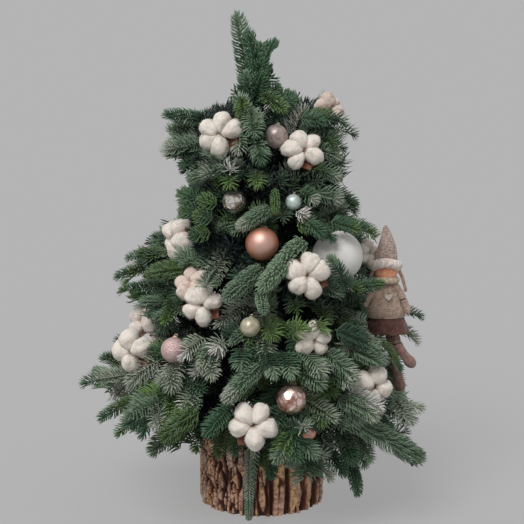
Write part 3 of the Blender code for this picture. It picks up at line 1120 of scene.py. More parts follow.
class Foliage:
    """Needles, stems and buds of one group of sprays, gathered as arrays."""

    END_COUNT = 12              # needles in the tuft at a spray's tip
    BEND = (0.68, 0.32)         # shares of a needle before and after its bend
    TIP_SHARE = 0.74            # where along a spray the tint of its tip begins
    LEAST_SHARE = 0.3           # a spray with less than this free isn't grown
    UPPER_RANKS = 0.8           # ranks nearer the upper side than this stand half a step on, in radians
    TURN_SPREAD = 0.1           # how far chance turns a needle round the stem, in radians
    ANGLE_SPREAD = 5.0          # and how far it turns it to the stem, in degrees
    LENGTHS = (0.9, 1.08)       # how chance changes its length
    PROBES = 13                 # places at which a stem is tried against the clearings
    STEM_SIDES = 5
    STEM_RINGS = 5
    BUD_RINGS = ((0.0, 0.85), (0.28, 1.35), (0.62, 1.1), (1.0, 0.15))
    BUD_LENGTH = 0.0036

    def __init__(self, clearings: Sequence[Clearing]) -> None:
        """Start empty, with the places that no needle may enter."""
        self.clearings = clearings
        self.needles: list[np.ndarray] = []
        self.slots: list[np.ndarray] = []
        self.stems: list[np.ndarray] = []
        self.buds: list[np.ndarray] = []

    def layout(self, spray: Spray) -> tuple[np.ndarray, np.ndarray]:
        """Where each needle stands: its share of the stem and its turn round it, in radians."""
        habit = spray.style.value
        length = (spray.curve[2] - spray.curve[0]).length
        rows = max(3, int(length * (1.0 - spray.bare) / (habit.pitch * spray.thin)))
        ranks = np.radians(np.array(habit.ranks))
        step = (np.abs(ranks) < self.UPPER_RANKS) * 0.5
        share = ((np.arange(rows)[:, None] + 0.25 + step[None]) / rows).ravel()
        share = spray.bare + (1.0 - spray.bare) * np.minimum(1.0, share)
        turn = np.concatenate((np.tile(ranks, rows), np.arange(self.END_COUNT) * GOLDEN_ANGLE))
        return np.concatenate((share, np.ones(self.END_COUNT))), turn

    def grow(self, spray: Spray, rng: np.random.Generator) -> None:
        """Add one spray's stem, bud and needles, as far as it is free."""
        free = self.free_share(spray)
        if free < self.LEAST_SHARE:
            return
        self.add_stem(spray, free)
        habit = spray.style.value
        share, turn = self.layout(spray)
        count = len(share)
        turn += rng.normal(0.0, self.TURN_SPREAD, count)
        base, ahead, above, right = spray.frames(share)
        across = np.sin(turn)
        out = right * across[:, None] + above * np.cos(turn)[:, None]
        angle = habit.angle * (1.0 - 0.25 * share ** 6) + rng.uniform(-self.ANGLE_SPREAD, self.ANGLE_SPREAD, count)
        angle[-self.END_COUNT:] *= np.linspace(0.15, 1.0, self.END_COUNT)
        angle = np.radians(angle)[:, None]
        ways = ahead * np.cos(angle) + out * np.sin(angle)
        long = habit.length * (0.82 + 0.18 * np.minimum(1.0, share * 5.0)) * (1.0 - 0.3 * share ** 6)
        long = long * rng.uniform(*self.LENGTHS, count) * spray.size
        long = (long * np.where(across < 0.0, spray.left, 1.0))[:, None]
        curled = unit(ways * 0.75 + ahead * habit.lean * 1.4 + above * habit.sweep * 1.3)
        side = np.cross(ways, above)
        side /= np.linalg.norm(side, axis=1)[:, None] + 1e-9
        ridge = np.cross(side, ways)
        middle = base + ways * (long * self.BEND[0])
        tip = middle + curled * (long * self.BEND[1])
        wide = habit.half_width
        points = np.stack((base - side * wide * 0.7, base + side * wide * 0.7, base + ridge * wide * 0.5,
                           middle - side * wide, middle + side * wide, middle + ridge * wide * 0.6, tip), axis=1)
        keep = share <= free
        for clearing in self.clearings:
            keep &= clearing.spares(base, middle, tip)
        tints = list(Tint)
        slots = np.where(share > self.TIP_SHARE, tints.index(spray.tip_tint), tints.index(spray.tint)) * 2
        self.needles.append(points[keep])
        self.slots.append(slots[keep])

    def free_share(self, spray: Spray) -> float:
        """How much of a spray's length lies before the first clearing that its stem meets."""
        share = np.linspace(0.0, 1.0, self.PROBES)
        centre = spray.frames(share)[0]
        clear = np.ones(len(share), dtype=bool)
        for clearing in self.clearings:
            clear &= clearing.spares(centre)
        return 1.0 if clear.all() else float(share[int(np.argmin(clear))]) - share[1]

    def add_stem(self, spray: Spray, free: float) -> None:
        """Add a spray's stem as far as it is free, and the bud at its tip where it is whole."""
        turn = np.linspace(0.0, 2.0 * math.pi, self.STEM_SIDES, endpoint=False)[:, None]
        share = np.linspace(0.0, free, self.STEM_RINGS)
        centre, _, above, right = spray.frames(share)
        radius = spray.stem * (1.0 - 0.55 * share)
        around = right[:, None] * np.cos(turn) + above[:, None] * np.sin(turn)
        self.stems.append(centre[:, None] + around * radius[:, None, None])
        if free == 1.0:
            centre, ahead, above, right = spray.frames(np.ones(1))
            around = right * np.cos(turn) + above * np.sin(turn)
            self.buds.append(np.array([
                centre + ahead * (rise * self.BUD_LENGTH) + around * (wide * spray.stem * 0.5 + 0.0002)
                for rise, wide in self.BUD_RINGS]))


@dataclass(frozen=True)
class Clearing:
    """A space that needles leave free: round a decoration and outward of it.

    Attributes:
        centre: The decoration's middle.
        radius: How far needles stay from it.
        outward: The direction in which it lies open.
        depth: How far the opening reaches.
    """

    centre: Place
    radius: float
    outward: Place
    depth: float = 0.06

    def spares(self, *rows: np.ndarray) -> np.ndarray:
        """Which of the needles, given by rows of their points, are clear of it."""
        clear = np.ones(len(rows[0]), dtype=bool)
        ways = np.array(self.outward) / np.linalg.norm(self.outward)
        for points in rows:
            away = points - np.array(self.centre)
            along_ways = np.clip(away @ ways, 0.0, self.depth)
            clear &= np.linalg.norm(away - along_ways[:, None] * ways, axis=1) > self.radius
        return clear


class Hollow(NamedTuple):
    """A dark place between the sprays, into which one looks from the front."""

    centre: Place
    radius: float

    def swallows(self, spray: Spray) -> bool:
        """Whether a spray would stand in it."""
        for point in (along(spray.curve, 0.5), spray.curve[2]):
            away = point - Vector(self.centre)
            ahead = min(0.06, max(-0.03, -away.y))
            if (away + BACK * ahead).length < self.radius:
                return True
        return False


HOLLOWS = tuple(Hollow(tuple(0.001 * part for part in row[:3]), 0.001 * row[3]) for row in (
    (21, -94, 416, 7.2), (-11, -100, 377, 14.4), (-30, -109, 328, 10.8), (47, -99, 335, 10.8),
    (-38, -120, 305, 12.0), (20, -121, 311, 12.0), (23, -134, 285, 10.8), (58, -133, 268, 14.4),
    (11, -158, 229, 9.6), (28, -164, 200, 10.8), (11, -174, 174, 10.8), (86, -140, 207, 9.6),
    (-52, -142, 255, 9.6), (42, -88, 395, 8.4), (77, -59, 399, 8.4), (-70, -82, 338, 9.6),
    (-108, -117, 224, 10.8), (-51, -166, 175, 9.6), (92, -151, 167, 8.4),
))

CAMERA_PLACE = (0.0, -1.8, 0.6374)
NOTCH_BACK = 0.1
NOTCH_DEPTH = 0.28
USUAL_BOW = 4                   # of an accent, in millimetres
ACCENT_STEM = 0.001
ACCENT_BARE = 0.02
ACCENT_THIN = 0.88


def notch(across: float, high: float, radius: float) -> Clearing:
    """A gap in the crown's outline, open towards the camera, from its place and radius in millimetres."""
    back = Vector((0.001 * across, NOTCH_BACK, 0.001 * high))
    return Clearing(tuple(back), 0.001 * radius, tuple((Vector(CAMERA_PLACE) - back).normalized()), NOTCH_DEPTH)


NOTCHES = tuple(notch(*row) for row in (
    (-66, 477, 8.8), (-77, 472, 7.5), (-49, 481, 7.5), (-103, 469, 6.2), (93, 488, 7.5), (102, 474, 6.2),
    (108, 374, 7.5), (116, 408, 6.2), (-158, 265, 5.0), (-207, 99, 8.8), (-97, 28, 6.2), (1, 555, 7.5),
    (-210, 86, 6.2), (-127, 9, 10.0), (88, 486, 7.5), (99, 461, 5.0), (77, -30, 12.5), (55, -27, 11.2),
    (98, -35, 11.2), (158, 24, 8.8), (149, 0, 10.0), (-133, 436, 10.0), (-151, 189, 11.2),
    (-54, 493, 16.2), (-61, 483, 10.0), (26, 515, 10.0), (22, 527, 10.0), (50, 491, 8.8), (83, 493, 8.8),
    (-88, 472, 6.2), (-115, 470, 8.8), (201, 103, 11.2), (-100, 16, 10.0), (-219, 90, 8.8),
    (-100, 371, 8.8), (-117, 335, 10.0), (113, 377, 7.5), (128, 400, 6.2), (151, 18, 10.0), (169, 5, 11.2),
    (190, -6, 10.0), (167, -17, 15.0), (214, 103, 11.2), (208, 0, 6.2), (-165, 287, 7.5), (-167, 298, 8.8),
))


def accents(*groups: Sequence[Style | Tint | tuple[int, ...]]) -> list[Spray]:
    """Sprays that lie on the crown at places of their own, bowed up between their ends.

    Args:
        groups: Each has a style, the tint of most needles, the tint of the last ones, and rows of a
            start and a tip in millimetres, a size in per cent and a bow in millimetres, if not the usual.

    Returns:
        The sprays, their upper sides turned outward and up.
    """
    made = []
    for style, tint, tip_tint, *rows in groups:
        for *ends, size, bow in (row if len(row) == 8 else (*row, USUAL_BOW) for row in rows):
            start, tip = (Vector([0.001 * part for part in end]) for end in (ends[:3], ends[3:]))
            outward = Vector((tip.x, tip.y, 0.0)).normalized() + UP * 0.6
            ahead = (tip - start).normalized()
            above = (outward - ahead * outward.dot(ahead)).normalized()
            curve = (start, start.lerp(tip, 0.55) + above * (0.001 * bow), tip)
            curve = split(curve, max(0.5, 1.0 - 0.8 * TIP_REACH / (tip - start).length))[0]
            made.append(Spray(curve, above, style, tint, tip_tint, ACCENT_STEM, ACCENT_BARE, ACCENT_THIN,
                              size=0.01 * size))
    return made


ACCENTS = accents(
    (CLOSED, JADE, JADE, (47, -102, 336, -3, -156, 288, 100, 6)),
    (CLOSED, SEA, FROST, (11, -102, 371, -29, -116, 349, 80, 5), (-53, -144, 229, -66, -171, 200, 95, 5),
     (85, -135, 162, 112, -130, 131, 115), (0, -164, 207, -42, -191, 173, 95, 8)),
    (CLOSED, SEA, SEA, (2, -118, 307, -41, -152, 277, 100, 6), (94, -135, 138, 183, -95, 77, 125),
     (-40, -88, 414, -85, -66, 397, 75)),
    (CLOSED, JADE, SEA, (-2, -141, 284, 3, -169, 263, 65, 3)),
    (CLOSED, PINE, PINE, (-53, -18, 456, -115, -25, 467, 88), (96, -77, 88, 110, -110, 37, 75)),
    (COMB, SEA, FROST, (-65, -32, 432, -112, -45, 427, 110), (92, -146, 163, 128, -151, 142, 100, 8),
     (42, -151, 222, 68, -172, 196, 100, 8), (66, -144, 217, 103, -155, 188, 100, 8), (153, 0, 214, 188, 0, 190, 80),
     (61, -68, 412, 88, -60, 396, 85, 5), (42, -87, 417, 67, -85, 398, 85, 5), (60, -75, 385, 91, -68, 372, 85, 5),
     (63, -65, 432, 89, -53, 419, 80, 5), (-24, -94, 452, -26, -104, 430, 85, 5)),
    (COMB, PINE, PINE, (-57, -35, 417, -93, -50, 407, 80), (43, -64, 468, 71, -66, 461, 80, 5),
     (-30, -166, 163, -62, -191, 135, 90, 8), (150, -21, 129, 179, -30, 109, 75), (146, -28, 148, 169, -40, 133, 75),
     (84, -14, 449, 110, -20, 440, 80), (66, -28, 466, 97, -40, 456, 85), (76, -21, 431, 97, -30, 426, 80),
     (71, -21, 415, 94, -30, 410, 80), (79, -21, 368, 111, -30, 352, 85), (102, -28, 341, 130, -40, 330, 75),
     (96, -52, 256, 126, -75, 247, 100), (0, -7, 483, 20, -10, 503, 75), (70, -21, 385, 110, -30, 360, 80),
     (63, -81, 345, 80, -115, 335, 70), (42, -167, 169, 54, -188, 162, 80, 5)),
    (COMB, JADE, SEA, (-13, -66, 477, -7, -105, 450, 95, 6)),
    (STAR, FRESH, MOSS, (-23, -49, 486, -20, -84, 470, 75), (40, -99, 355, 55, -108, 350, 85)),
    (COMB, MOSS, FRESH, (0, -45, 492, 27, -72, 475, 80), (-66, -81, 118, -75, -115, 92, 80)),
    (STAR, PINE, PINE, (20, -39, 481, 41, -36, 485, 70)),
    (COMB, MOSS, PINE, (52, -43, 468, 85, -40, 461, 85), (-83, -93, 279, -127, -86, 268, 85, 6),
     (-97, -84, 139, -149, -120, 121, 90), (-28, -78, 110, -30, -112, 87, 75), (7, -76, 95, 11, -108, 57, 70),
     (7, -7, 478, 36, -10, 491, 75), (-57, -92, 342, -81, -91, 335, 85, 6)),
    (CLOSED, MOSS, PINE, (-120, -21, 288, -173, -30, 276, 85), (-131, -49, 140, -190, -70, 116, 95),
     (-163, -14, 165, -193, -20, 179, 90)),
    (CLOSED, PINE, MOSS, (-113, -35, 269, -168, -50, 263, 80)),
    (CLOSED, MOSS, SEA, (-109, -32, 307, -159, -45, 302, 80)),
    (STAR, PINE, SEA, (-102, -14, 320, -131, -20, 317, 70)),
    (COMB, MOSS, MOSS, (-82, -81, 299, -131, -57, 286, 90, 6), (-118, -70, 135, -167, -100, 107, 85),
     (-88, -77, 129, -125, -110, 88, 100), (-65, -91, 124, -92, -130, 112, 90), (-42, -77, 115, -50, -110, 84, 80),
     (-68, -175, 158, -109, -180, 128, 100, 6), (-81, -85, 307, -84, -121, 288, 90, 6)),
    (COMB, FROST, PINE, (-144, -35, 163, -211, -50, 154, 95)),
    (STAR, FROST, FROST, (-116, -96, 194, -149, -117, 169, 100, 10), (-94, -115, 201, -99, -158, 176, 100, 10)),
    (COMB, FROST, SNOW, (-63, -139, 232, -90, -156, 212, 90, 6)),
    (STAR, FROST, SNOW, (-41, -153, 231, -54, -170, 224, 95)),
    (COMB, FROST, SEA, (-14, -86, 91, -15, -123, 11, 44)),
    (COMB, PINE, MOSS, (0, -70, 98, 0, -100, 69, 60), (27, -73, 106, 32, -105, 71, 80),
     (-13, -148, 252, 14, -169, 248, 100, 7), (78, -49, 352, 134, -70, 330, 85), (78, -70, 283, 112, -100, 276, 90),
     (-55, -91, 356, -76, -85, 360, 90, 6), (107, -63, 276, 124, -90, 274, 80)),
    (ROUND, PINE, PINE, (35, -81, 106, 64, -115, 72, 110), (44, -77, 112, 95, -110, 63, 115),
     (159, 0, 230, 194, 0, 221, 90)),
    (ROUND, SEA, PINE, (78, -84, 122, 108, -120, 83, 110), (103, -63, 109, 120, -90, 81, 100)),
    (ROUND, SEA, JADE, (97, -70, 105, 119, -100, 69, 110)),
    (COMB, PINE, SEA, (66, -105, 151, 92, -150, 130, 90), (-21, -153, 224, -24, -176, 203, 90, 7),
     (78, -84, 148, 113, -120, 116, 95)),
    (COMB, SEA, PINE, (104, -70, 132, 149, -100, 117, 95), (87, -87, 118, 102, -125, 82, 100),
     (-6, -93, 446, 0, -104, 420, 95, 6)),
    (COMB, DUSK, SEA, (81, -124, 238, 130, -118, 211, 100, 8)),
    (COMB, PINE, FROST, (75, -146, 195, 99, -159, 181, 90, 6), (42, -91, 390, 62, -96, 374, 80, 5)),
    (COMB, PINE, JADE, (24, -159, 221, 32, -183, 198, 100, 6)),
    (COMB, DUSK, JADE, (7, -159, 221, 14, -184, 198, 100, 7)),
    (COMB, FROST, FROST, (-62, -146, 218, -52, -176, 194, 90, 6)),
    (COMB, MOSS, SEA, (-72, -165, 163, -98, -180, 137, 100, 7)),
    (COMB, SEA, SEA, (96, -81, 121, 124, -115, 81, 85), (42, -158, 198, 68, -174, 185, 100, 7)),
    (ROUND, MOSS, MOSS, (-50, -90, 373, -73, -84, 379, 95)),
    (STAR, PINE, MOSS, (-71, -74, 376, -92, -61, 382, 85), (-72, -77, 361, -91, -68, 365, 80)),
    # dark fans deep in the crown beside the doll: painted shade
    (STAR, DUSK, DUSK, (120, 7, 201, 147, 10, 191, 100), (105, 7, 280, 146, 10, 272, 120),
     (105, 0, 254, 148, 0, 247, 120)),
    (ROUND, DUSK, PINE, (130, -35, 127, 172, -50, 106, 95)),
    (STAR, FRESH, FRESH, (59, -146, 252, 65, -167, 241, 95)),
    (STAR, MOSS, FRESH, (31, -157, 240, 47, -167, 252, 100), (-36, -93, 405, -35, -113, 395, 80),
     (-6, -100, 408, -4, -118, 397, 80)),
    (STAR, SNOW, SNOW, (38, -98, 366, 52, -107, 362, 75, 3)),
    (BRUSH, MOSS, MOSS, (14, -100, 394, 15, -118, 365, 70, 3)),
)
ACCENTS_OVER = accents(  # these lie over the decorations
    (COMB, SNOW, SNOW, (96, -136, 170, 134, -140, 148, 90)),
    (COMB, DUSK, SEA, (97, -114, 278, 72, -118, 322, 72)),
    (COMB, PINE, PINE, (49, -109, 357, 70, -112, 338, 75)),
    (COMB, MOSS, PINE, (132, -53, 211, 163, -55, 170, 62)),
    (COMB, PINE, MOSS, (76, -97, 355, 111, -100, 344, 75), (102, -82, 274, 140, -85, 282, 62)),
    (COMB, SEA, SEA, (101, -121, 214, 134, -125, 197, 85)),
)


class Growth(NamedTuple):
    """Ranges that a fine shoot is drawn from: degrees sideways, degrees up and its length in metres."""

    turns: Range
    lifts: Range
    lengths: Range

    def shoot(self, path: Curve, up: Vector, place: float, side: float, rng: random.Random) -> Shoot:
        """A shoot that leaves a path at a place, to one side."""
        return side_shoot(path, up, place, side, drawn(rng, self.turns), drawn(rng, self.lifts),
                          rng.uniform(*self.lengths))


CREST = Growth((12, 40), (28, 58), (0.03, 0.044))
UNDER = Growth((20, 50), (-58, -30), (0.026, 0.038))
TWIGLET = Growth((38, 55), (-12, 18), (0.02, 0.029))
INNER = Growth((30, 75), (-45, 50), (0.04, 0.056))
TWIG = PlainFinish("young_twig", (0.062, 0.06, 0.03))
BUD = PlainFinish("winter_bud", (0.13, 0.075, 0.036))


@dataclass
class Crown:
    """All the foliage: each mass regrown with finer twigs and its needles.

    Attributes:
        clearings: The spaces that the decorations need.
        side_places: Where further pairs of shoots leave a spine.
        crest_places: Where further shoots stand up from it.
        under_places: Where shoots hang under it.
        twiglet_places: Where small shoots leave a side shoot.
        inner_count: Shoots along the inner half of each spine, needled near-black as painted shade.
        side_stem: Radius of a side shoot's stem.
        fine_stem: Radius of a fine shoot's stem.
        twiglet_stem: Radius of a small shoot's stem.
        stems: Every stem grown so far, as rings of points.
        buds: Every bud grown so far, likewise.
    """

    clearings: Sequence[Clearing]
    side_places: tuple[float, ...] = (0.62, 0.78)
    crest_places: tuple[float, ...] = (0.16, 0.56, 0.74)
    under_places: tuple[float, ...] = (0.34, 0.6)
    twiglet_places: tuple[float, ...] = (0.42, 0.64)
    inner_count: int = 10
    side_stem: float = 0.0014
    fine_stem: float = 0.0011
    twiglet_stem: float = 0.0009
    stems: list[np.ndarray] = field(default_factory=list)
    buds: list[np.ndarray] = field(default_factory=list)

    def spray(self, shoot: Shoot, rng: random.Random, stem: float, inner: bool = False,
              style: Style | None = None, **more: float) -> Spray:
        """A spray on a shoot, cut short by what its last needles reach, with habit and tints by chance."""
        curve, up = shoot
        curve = split(curve, max(0.5, 1.0 - TIP_REACH / (curve[2] - curve[0]).length))[0]
        tint, tip_tint = deal_tints(curve[2], inner, rng)
        dealt = pick(rng.random(), (0.52, COMB), (0.74, STAR), (0.88, ROUND), (1.0, BRUSH))
        style = style or dealt
        if style is BRUSH and tint in (PINE, DUSK):
            tint = SEA
        return Spray(curve, up, style, tint, tip_tint, stem, **more)

    def finer(self, mass: Mass, tier: Tier, shoots: Sequence[Shoot], rng: random.Random) -> None:
        """Add the twigs that are too fine for the solid mass, within its reach."""
        spine, up = mass.spine, upper_side(mass.spine)
        for place in self.side_places:
            for side in (1, -1):
                length = tier.side_length * (1.0 - 0.62 * place) * rng.uniform(0.85, 1.1)
                shoot = side_shoot(spine, up, place, side, drawn(rng, (38, 54)), drawn(rng, (-16, 18)), length)
                mass.sprays.append(self.spray(shoot, rng, self.fine_stem))
        for growth, places in ((CREST, self.crest_places), (UNDER, self.under_places)):
            for place in places:
                shoot = growth.shoot(spine, up, place, rng.choice((1, -1)), rng)
                mass.sprays.append(self.spray(shoot, rng, self.fine_stem))
        for curve, own_up in shoots[:-1]:
            for place, side in zip(self.twiglet_places, (-1, 1)):
                shoot = TWIGLET.shoot(curve, own_up, place, side, rng)
                mass.sprays.append(self.spray(shoot, rng, self.twiglet_stem))
        # The inner shoots carry the near-black painted-shade tint.
        path = mass.limb or mass.spine
        for index in range(self.inner_count):
            place = (0.12 + 0.84 * index / self.inner_count) * (1.0 if mass.limb else 0.55)
            shoot = INNER.shoot(path, upper_side(path), place, 1 if index % 2 else -1, rng)
            mass.sprays.append(self.spray(shoot, rng, self.fine_stem, inner=True, thin=1.35, size=1.15))

    def tier(self, tier: Tier) -> list[Mass]:
        """The masses of one tier with all their sprays."""
        grown = []
        for name, limb, spine, rule_rng in tier_spines(tier):
            shoots = rule_shoots(spine, tier, rule_rng)
            rng = random.Random(f"{SEED}-finer-{name}")
            first = self.spray((spine, upper_side(spine)), rng, STEM_RADIUS * 0.8, style=COMB, bare=0.1)
            mass = Mass(name, limb, spine, [first, *(self.spray(shoot, rng, self.side_stem) for shoot in shoots)])
            self.finer(mass, tier, shoots, rng)
            grown.append(mass)
        return grown

    def leader(self) -> Mass:
        """The upright mass at the top, combed short at its left and fanned at its right."""
        rng = random.Random(f"{SEED}-finer-leader")
        start = trunk_centre(TRUNK_TIP) + UP * GAP
        spine = (start, start.lerp(LEADER_TIP, 0.5) + LEADER_BOW, LEADER_TIP)
        beside = (start, Vector((0.004, -0.01, 0.52)), Vector((-0.014, -0.008, 0.553)))
        knob = (Vector((0.001, -0.004, 0.5)), Vector((0.001, -0.008, 0.523)), Vector((0.0115, -0.008, 0.544)))
        sprays = [Spray(split(spine, 0.985)[0], FRONT, COMB, PINE, PINE, 0.0018, 0.02, left=0.72, size=1.12),
                  Spray(beside, FRONT, COMB, PINE, PINE, 0.0014, 0.2, size=1.05),
                  Spray(knob, FRONT, BRUSH, PINE, PINE, 0.0014, 0.1, size=1.15)]
        for place, degrees, length in LEADER_SPRAYS:
            side = math.copysign(1.0, degrees)
            shoot = side_shoot(spine, FRONT, place, side, math.radians(abs(degrees)), 0.0, length)
            sprays.append(self.spray(shoot, rng, 0.0013, style=COMB, size=0.9 if side > 0 else 0.7))
        for place, side, lift, length in LEADER_SHOOTS:
            shoot = side_shoot(spine, FRONT, place, side, LEADER_SHOOT_ANGLE, lift, length)
            sprays.append(self.spray(shoot, rng, self.fine_stem, style=COMB))
        sprays = [spray._replace(tint=PINE, tip_tint=PINE if index % 3 else SEA)
                  for index, spray in enumerate(sprays)]
        return Mass("leader", None, spine, sprays)

    def sprig(self, name: str, style: Style, tint: Tint, tip_tint: Tint, size: float) -> Mass:
        """A mass on one bent spine that hangs before or beside the stand."""
        start, bend, tip = (Vector(point) for point in SPRIGS[name])
        azimuth = math.atan2(start.y, start.x)
        spine = (off_trunk(azimuth, start.z, bend - start, STEM_RADIUS), bend, tip)
        spray = Spray(split(spine, 0.92)[0], upper_side(spine), style, tint, tip_tint, 0.002, 0.1, size=size)
        return Mass(name, None, spine, [spray])

    def grow(self, name: str, seed: int, sprays: Sequence[Spray], clearings: Sequence[Clearing],
             nodes: Sequence[str] = ()) -> Piece:
        """Make the needles of one group as a piece and keep its stems and buds.

        Args:
            name: The group's name.
            seed: Its number, for its own chance.
            sprays: Its sprays.
            clearings: The spaces that its needles leave free.
            nodes: The solid masses that it replaces.

        Returns:
            The piece.
        """
        foliage = Foliage(clearings)
        rng = np.random.default_rng(SEED * 100 + seed)
        for spray in sprays:
            foliage.grow(spray, rng)
        self.stems += foliage.stems
        self.buds += foliage.buds
        tints = [PlainFinish(f"needle_{tint.name.lower()}_{side}", rgb, roughness, 0.35).build() for tint in Tint
                 for side, rgb, roughness in zip(("upper", "under"), tint.value, (0.46, 0.62))]
        piece = blades(f"needles_{name}", np.concatenate(foliage.needles), np.concatenate(foliage.slots))
        dress(piece, "needles", *tints)
        if nodes:
            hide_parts(*nodes)
        return piece

    def build(self) -> Iterator[Piece]:
        """Make each tier's needles as a piece, then the leader's and the others, all stems and all buds."""
        groups = [(tier.name, self.tier(tier)) for tier in TIERS]
        groups.append(("leader", [self.leader()]))
        groups.append(("sprigs", [self.sprig("front_sprig", ROUND, FROST, SEA, 0.55),
                                  self.sprig("right_sprig", COMB, PINE, PINE, 1.0)]))
        for seed, (name, masses) in enumerate(groups):
            # Hollows keep only the near-black painted-shade needles, so they read dark.
            sprays = [spray for mass in masses for spray in mass.sprays
                      if spray.tint is DEEP or not any(hollow.swallows(spray) for hollow in HOLLOWS)]
            yield self.grow(name, seed, sprays, [*self.clearings, *NOTCHES], [mass.name for mass in masses])
        yield self.grow("accents", len(groups), ACCENTS, self.clearings)
        yield self.grow("accents_over", len(groups) + 1, ACCENTS_OVER, [])
        yield dress(closed_tubes("twigs", self.stems), "bark", TWIG.build())
        yield dress(closed_tubes("buds", self.buds), "bark", BUD.build())


# Stand and wood

@dataclass
class LogStand:
    """The slice of log that the tree stands in, with furrowed bark and a sawn top.

    Attributes:
        sides: Faces round it.
        rings: Rows of faces up its wall.
        depth: From a ridge to the floor of a furrow.
        foot: How far its worn foot draws in.
        wear: How far its rim draws in.
        waves: How far its wall strays from round.
    """

    sides: int = 384
    rings: int = 96
    depth: float = 0.0062
    foot: float = 0.003
    wear: float = 0.002
    waves: float = 0.0016

    def relief(self, angle: float, z: float) -> tuple[float, float]:
        """How deep the bark lies below its ridges, from 0 to 1, and its tone."""
        across, deep = math.cos(angle), math.sin(angle)
        lattice = smooth(0.25, -0.55, across)
        tall = 5.5 + 26.0 * lattice
        wide = 4.9 + 5.2 * lattice

        def wave(scale: float, height: float, seed: float) -> float:
            return noise.noise(Vector((across * scale + seed, deep * scale, z * height + seed)))

        bend = 0.22 * wave(3.0, 40.0, 3.0)
        main = abs(noise.noise(Vector((across * wide + bend, deep * wide - bend, z * tall))))
        furrow = smooth(0.255 - 0.025 * lattice, 0.06 + 0.03 * lattice, main)
        minor = smooth(0.1, 0.015, abs(wave(11.0, 12.0 + 34.0 * lattice, 7.0))) * (0.5 + 0.25 * lattice)
        across_crack = smooth(0.06, 0.01, abs(wave(6.0, 105.0, 11.0))) * (0.16 + 0.3 * lattice)
        plate = 0.22 * max(0.0, wave(20.0, 60.0, 5.0)) + 0.3 * max(0.0, wave(44.0, 200.0, 15.0))
        low = max(furrow * (0.82 + 0.5 * wave(30.0, 40.0, 9.0)), minor, across_crack) + plate
        tone = 0.6 + 0.75 * wave(5.5, 16.0, 21.0) + 0.55 * wave(34.0, 34.0, 31.0) - 0.28 * lattice
        return min(1.0, max(0.0, low)), min(1.0, max(0.0, tone))

    def build(self) -> Iterator[Piece]:
        """Make the log in place of its solid."""
        piece = grid_cylinder("log_stand", self.sides, self.rings)
        depths, tones = [], []
        for point in piece.data.vertices:
            angle, t = math.atan2(point.co.y, point.co.x), point.co.z
            z, deep, tone, radius = t * LOG_HEIGHT, 0.0, 0.5, 0.0
            if math.hypot(point.co.x, point.co.y) > 0.5:
                deep, tone = self.relief(angle, z)
                radius = LOG_RADIUS - self.depth * deep * smooth(1.0, 0.985, t)
                radius -= self.waves * max(0.0, noise.noise(round_z(angle, 5, z * 20)))
                radius -= self.foot * smooth(0.06, 0.0, t) * (0.4 + noise.noise(round_z(angle, 12, 2.0)))
                radius -= self.wear * smooth(0.97, 1.0, t)
            point.co = round_z(angle, radius, z)
            depths.append(deep)
            tones.append(tone)
        mark(piece, "bark_depth", depths)
        mark(piece, "bark_tone", tones)
        dress(piece, "log_bark", LogBarkFinish().build(), CutWoodFinish().build())
        for face in piece.data.polygons:
            face.material_index = int(abs(face.normal.z) > 0.9 and len(face.vertices) == 3)
        smooth_shade(piece, 35.0)
        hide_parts("log")
        yield piece


@dataclass
class Wood:
    """The trunk and the bare inner limbs of the lower boughs."""

    sides: int = 40
    rings: int = 90

    def trunk(self) -> Piece:
        """The trunk, its bark made uneven by noise."""
        piece = grid_cylinder("trunk_bark", self.sides, self.rings)

        def place(angle: float, t: float, radius: float) -> Vector:
            z = TRUNK_FOOT + (TRUNK_TIP - TRUNK_FOOT) * t
            outward = round_z(angle)
            rough = 0.05 * noise.noise(Vector((outward.x * 4.0, outward.y * 4.0, z * 90.0)))
            rough += 0.035 * noise.noise(Vector((outward.x * 12.0, outward.y * 12.0, z * 260.0)))
            return trunk_centre(z) + outward * (trunk_radius(z) * (0.97 + rough) * radius)

        return shape_rings(piece, place)

    def limbs(self) -> tuple[Piece, list[str]]:
        """The limbs of the tiers that have them, as one piece, and the nodes that they stand for."""
        rows = [row for tier in TIERS if tier.limb for row in tier_spines(tier)]
        radii = (BOUGH_ROOT_RADIUS, BOUGH_TIP_RADIUS)
        pieces = [tube(f"{name}_limb", limb, radii, 12, 14, 0.16) for name, limb, _, _ in rows]
        return join(pieces, "limbs"), [f"{name}_bough" for name, *_ in rows]

    def build(self) -> Iterator[Piece]:
        """Make trunk and limbs in one bark."""
        for piece, nodes in ((self.trunk(), ["trunk"]), self.limbs()):
            dress(piece, "bark", LimbFinish().build())
            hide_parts(*nodes)
            yield piece


# Decorations

LINT = LintFinish("lint", (0.65, 0.57, 0.49), (0.765, 0.7, 0.63))
# A darker pinkish-brown lint; on boll_e_upper it is painted shade.
DARKER_LINT = LintFinish("aged_lint", (0.47, 0.34, 0.285), (0.69, 0.56, 0.49))
CAP_METAL = MetalFinish("cap_metal", (0.7, 0.55, 0.38))
FLORIST_WIRE = MetalFinish("florist_wire", (0.25, 0.27, 0.22), 0.5)
# Its satin glaze paints a highlight and a darker rim into its colour.
COPPER = BallFinish("copper_satin", Glaze.SATIN, (0.74, 0.385, 0.295), (0.68, 0.23, 0.13))
SILVER = BallFinish("silver_crackle", Glaze.CRACKLE, (0.96, 0.93, 0.87), (0.33, 0.27, 0.19), 170.0)
ROSE = BallFinish("rose_crackle", Glaze.CRACKLE, (0.96, 0.76, 0.7), (0.42, 0.19, 0.145), 135.0, 0.27)
MINT = BallFinish("mint_pearl", Glaze.PEARL, (0.6, 0.69, 0.655), (0.43, 0.54, 0.505))
BLUSH = BallFinish("blush_pearl", Glaze.PEARL, (0.395, 0.32, 0.3), (0.23, 0.165, 0.15))
OLIVE = BallFinish("champagne_pearl", Glaze.PEARL, (0.56, 0.52, 0.39), (0.33, 0.3, 0.2))
FROSTED = BallFinish("pink_glitter", Glaze.GLITTER, (0.64, 0.46, 0.445), (0.42, 0.24, 0.22))
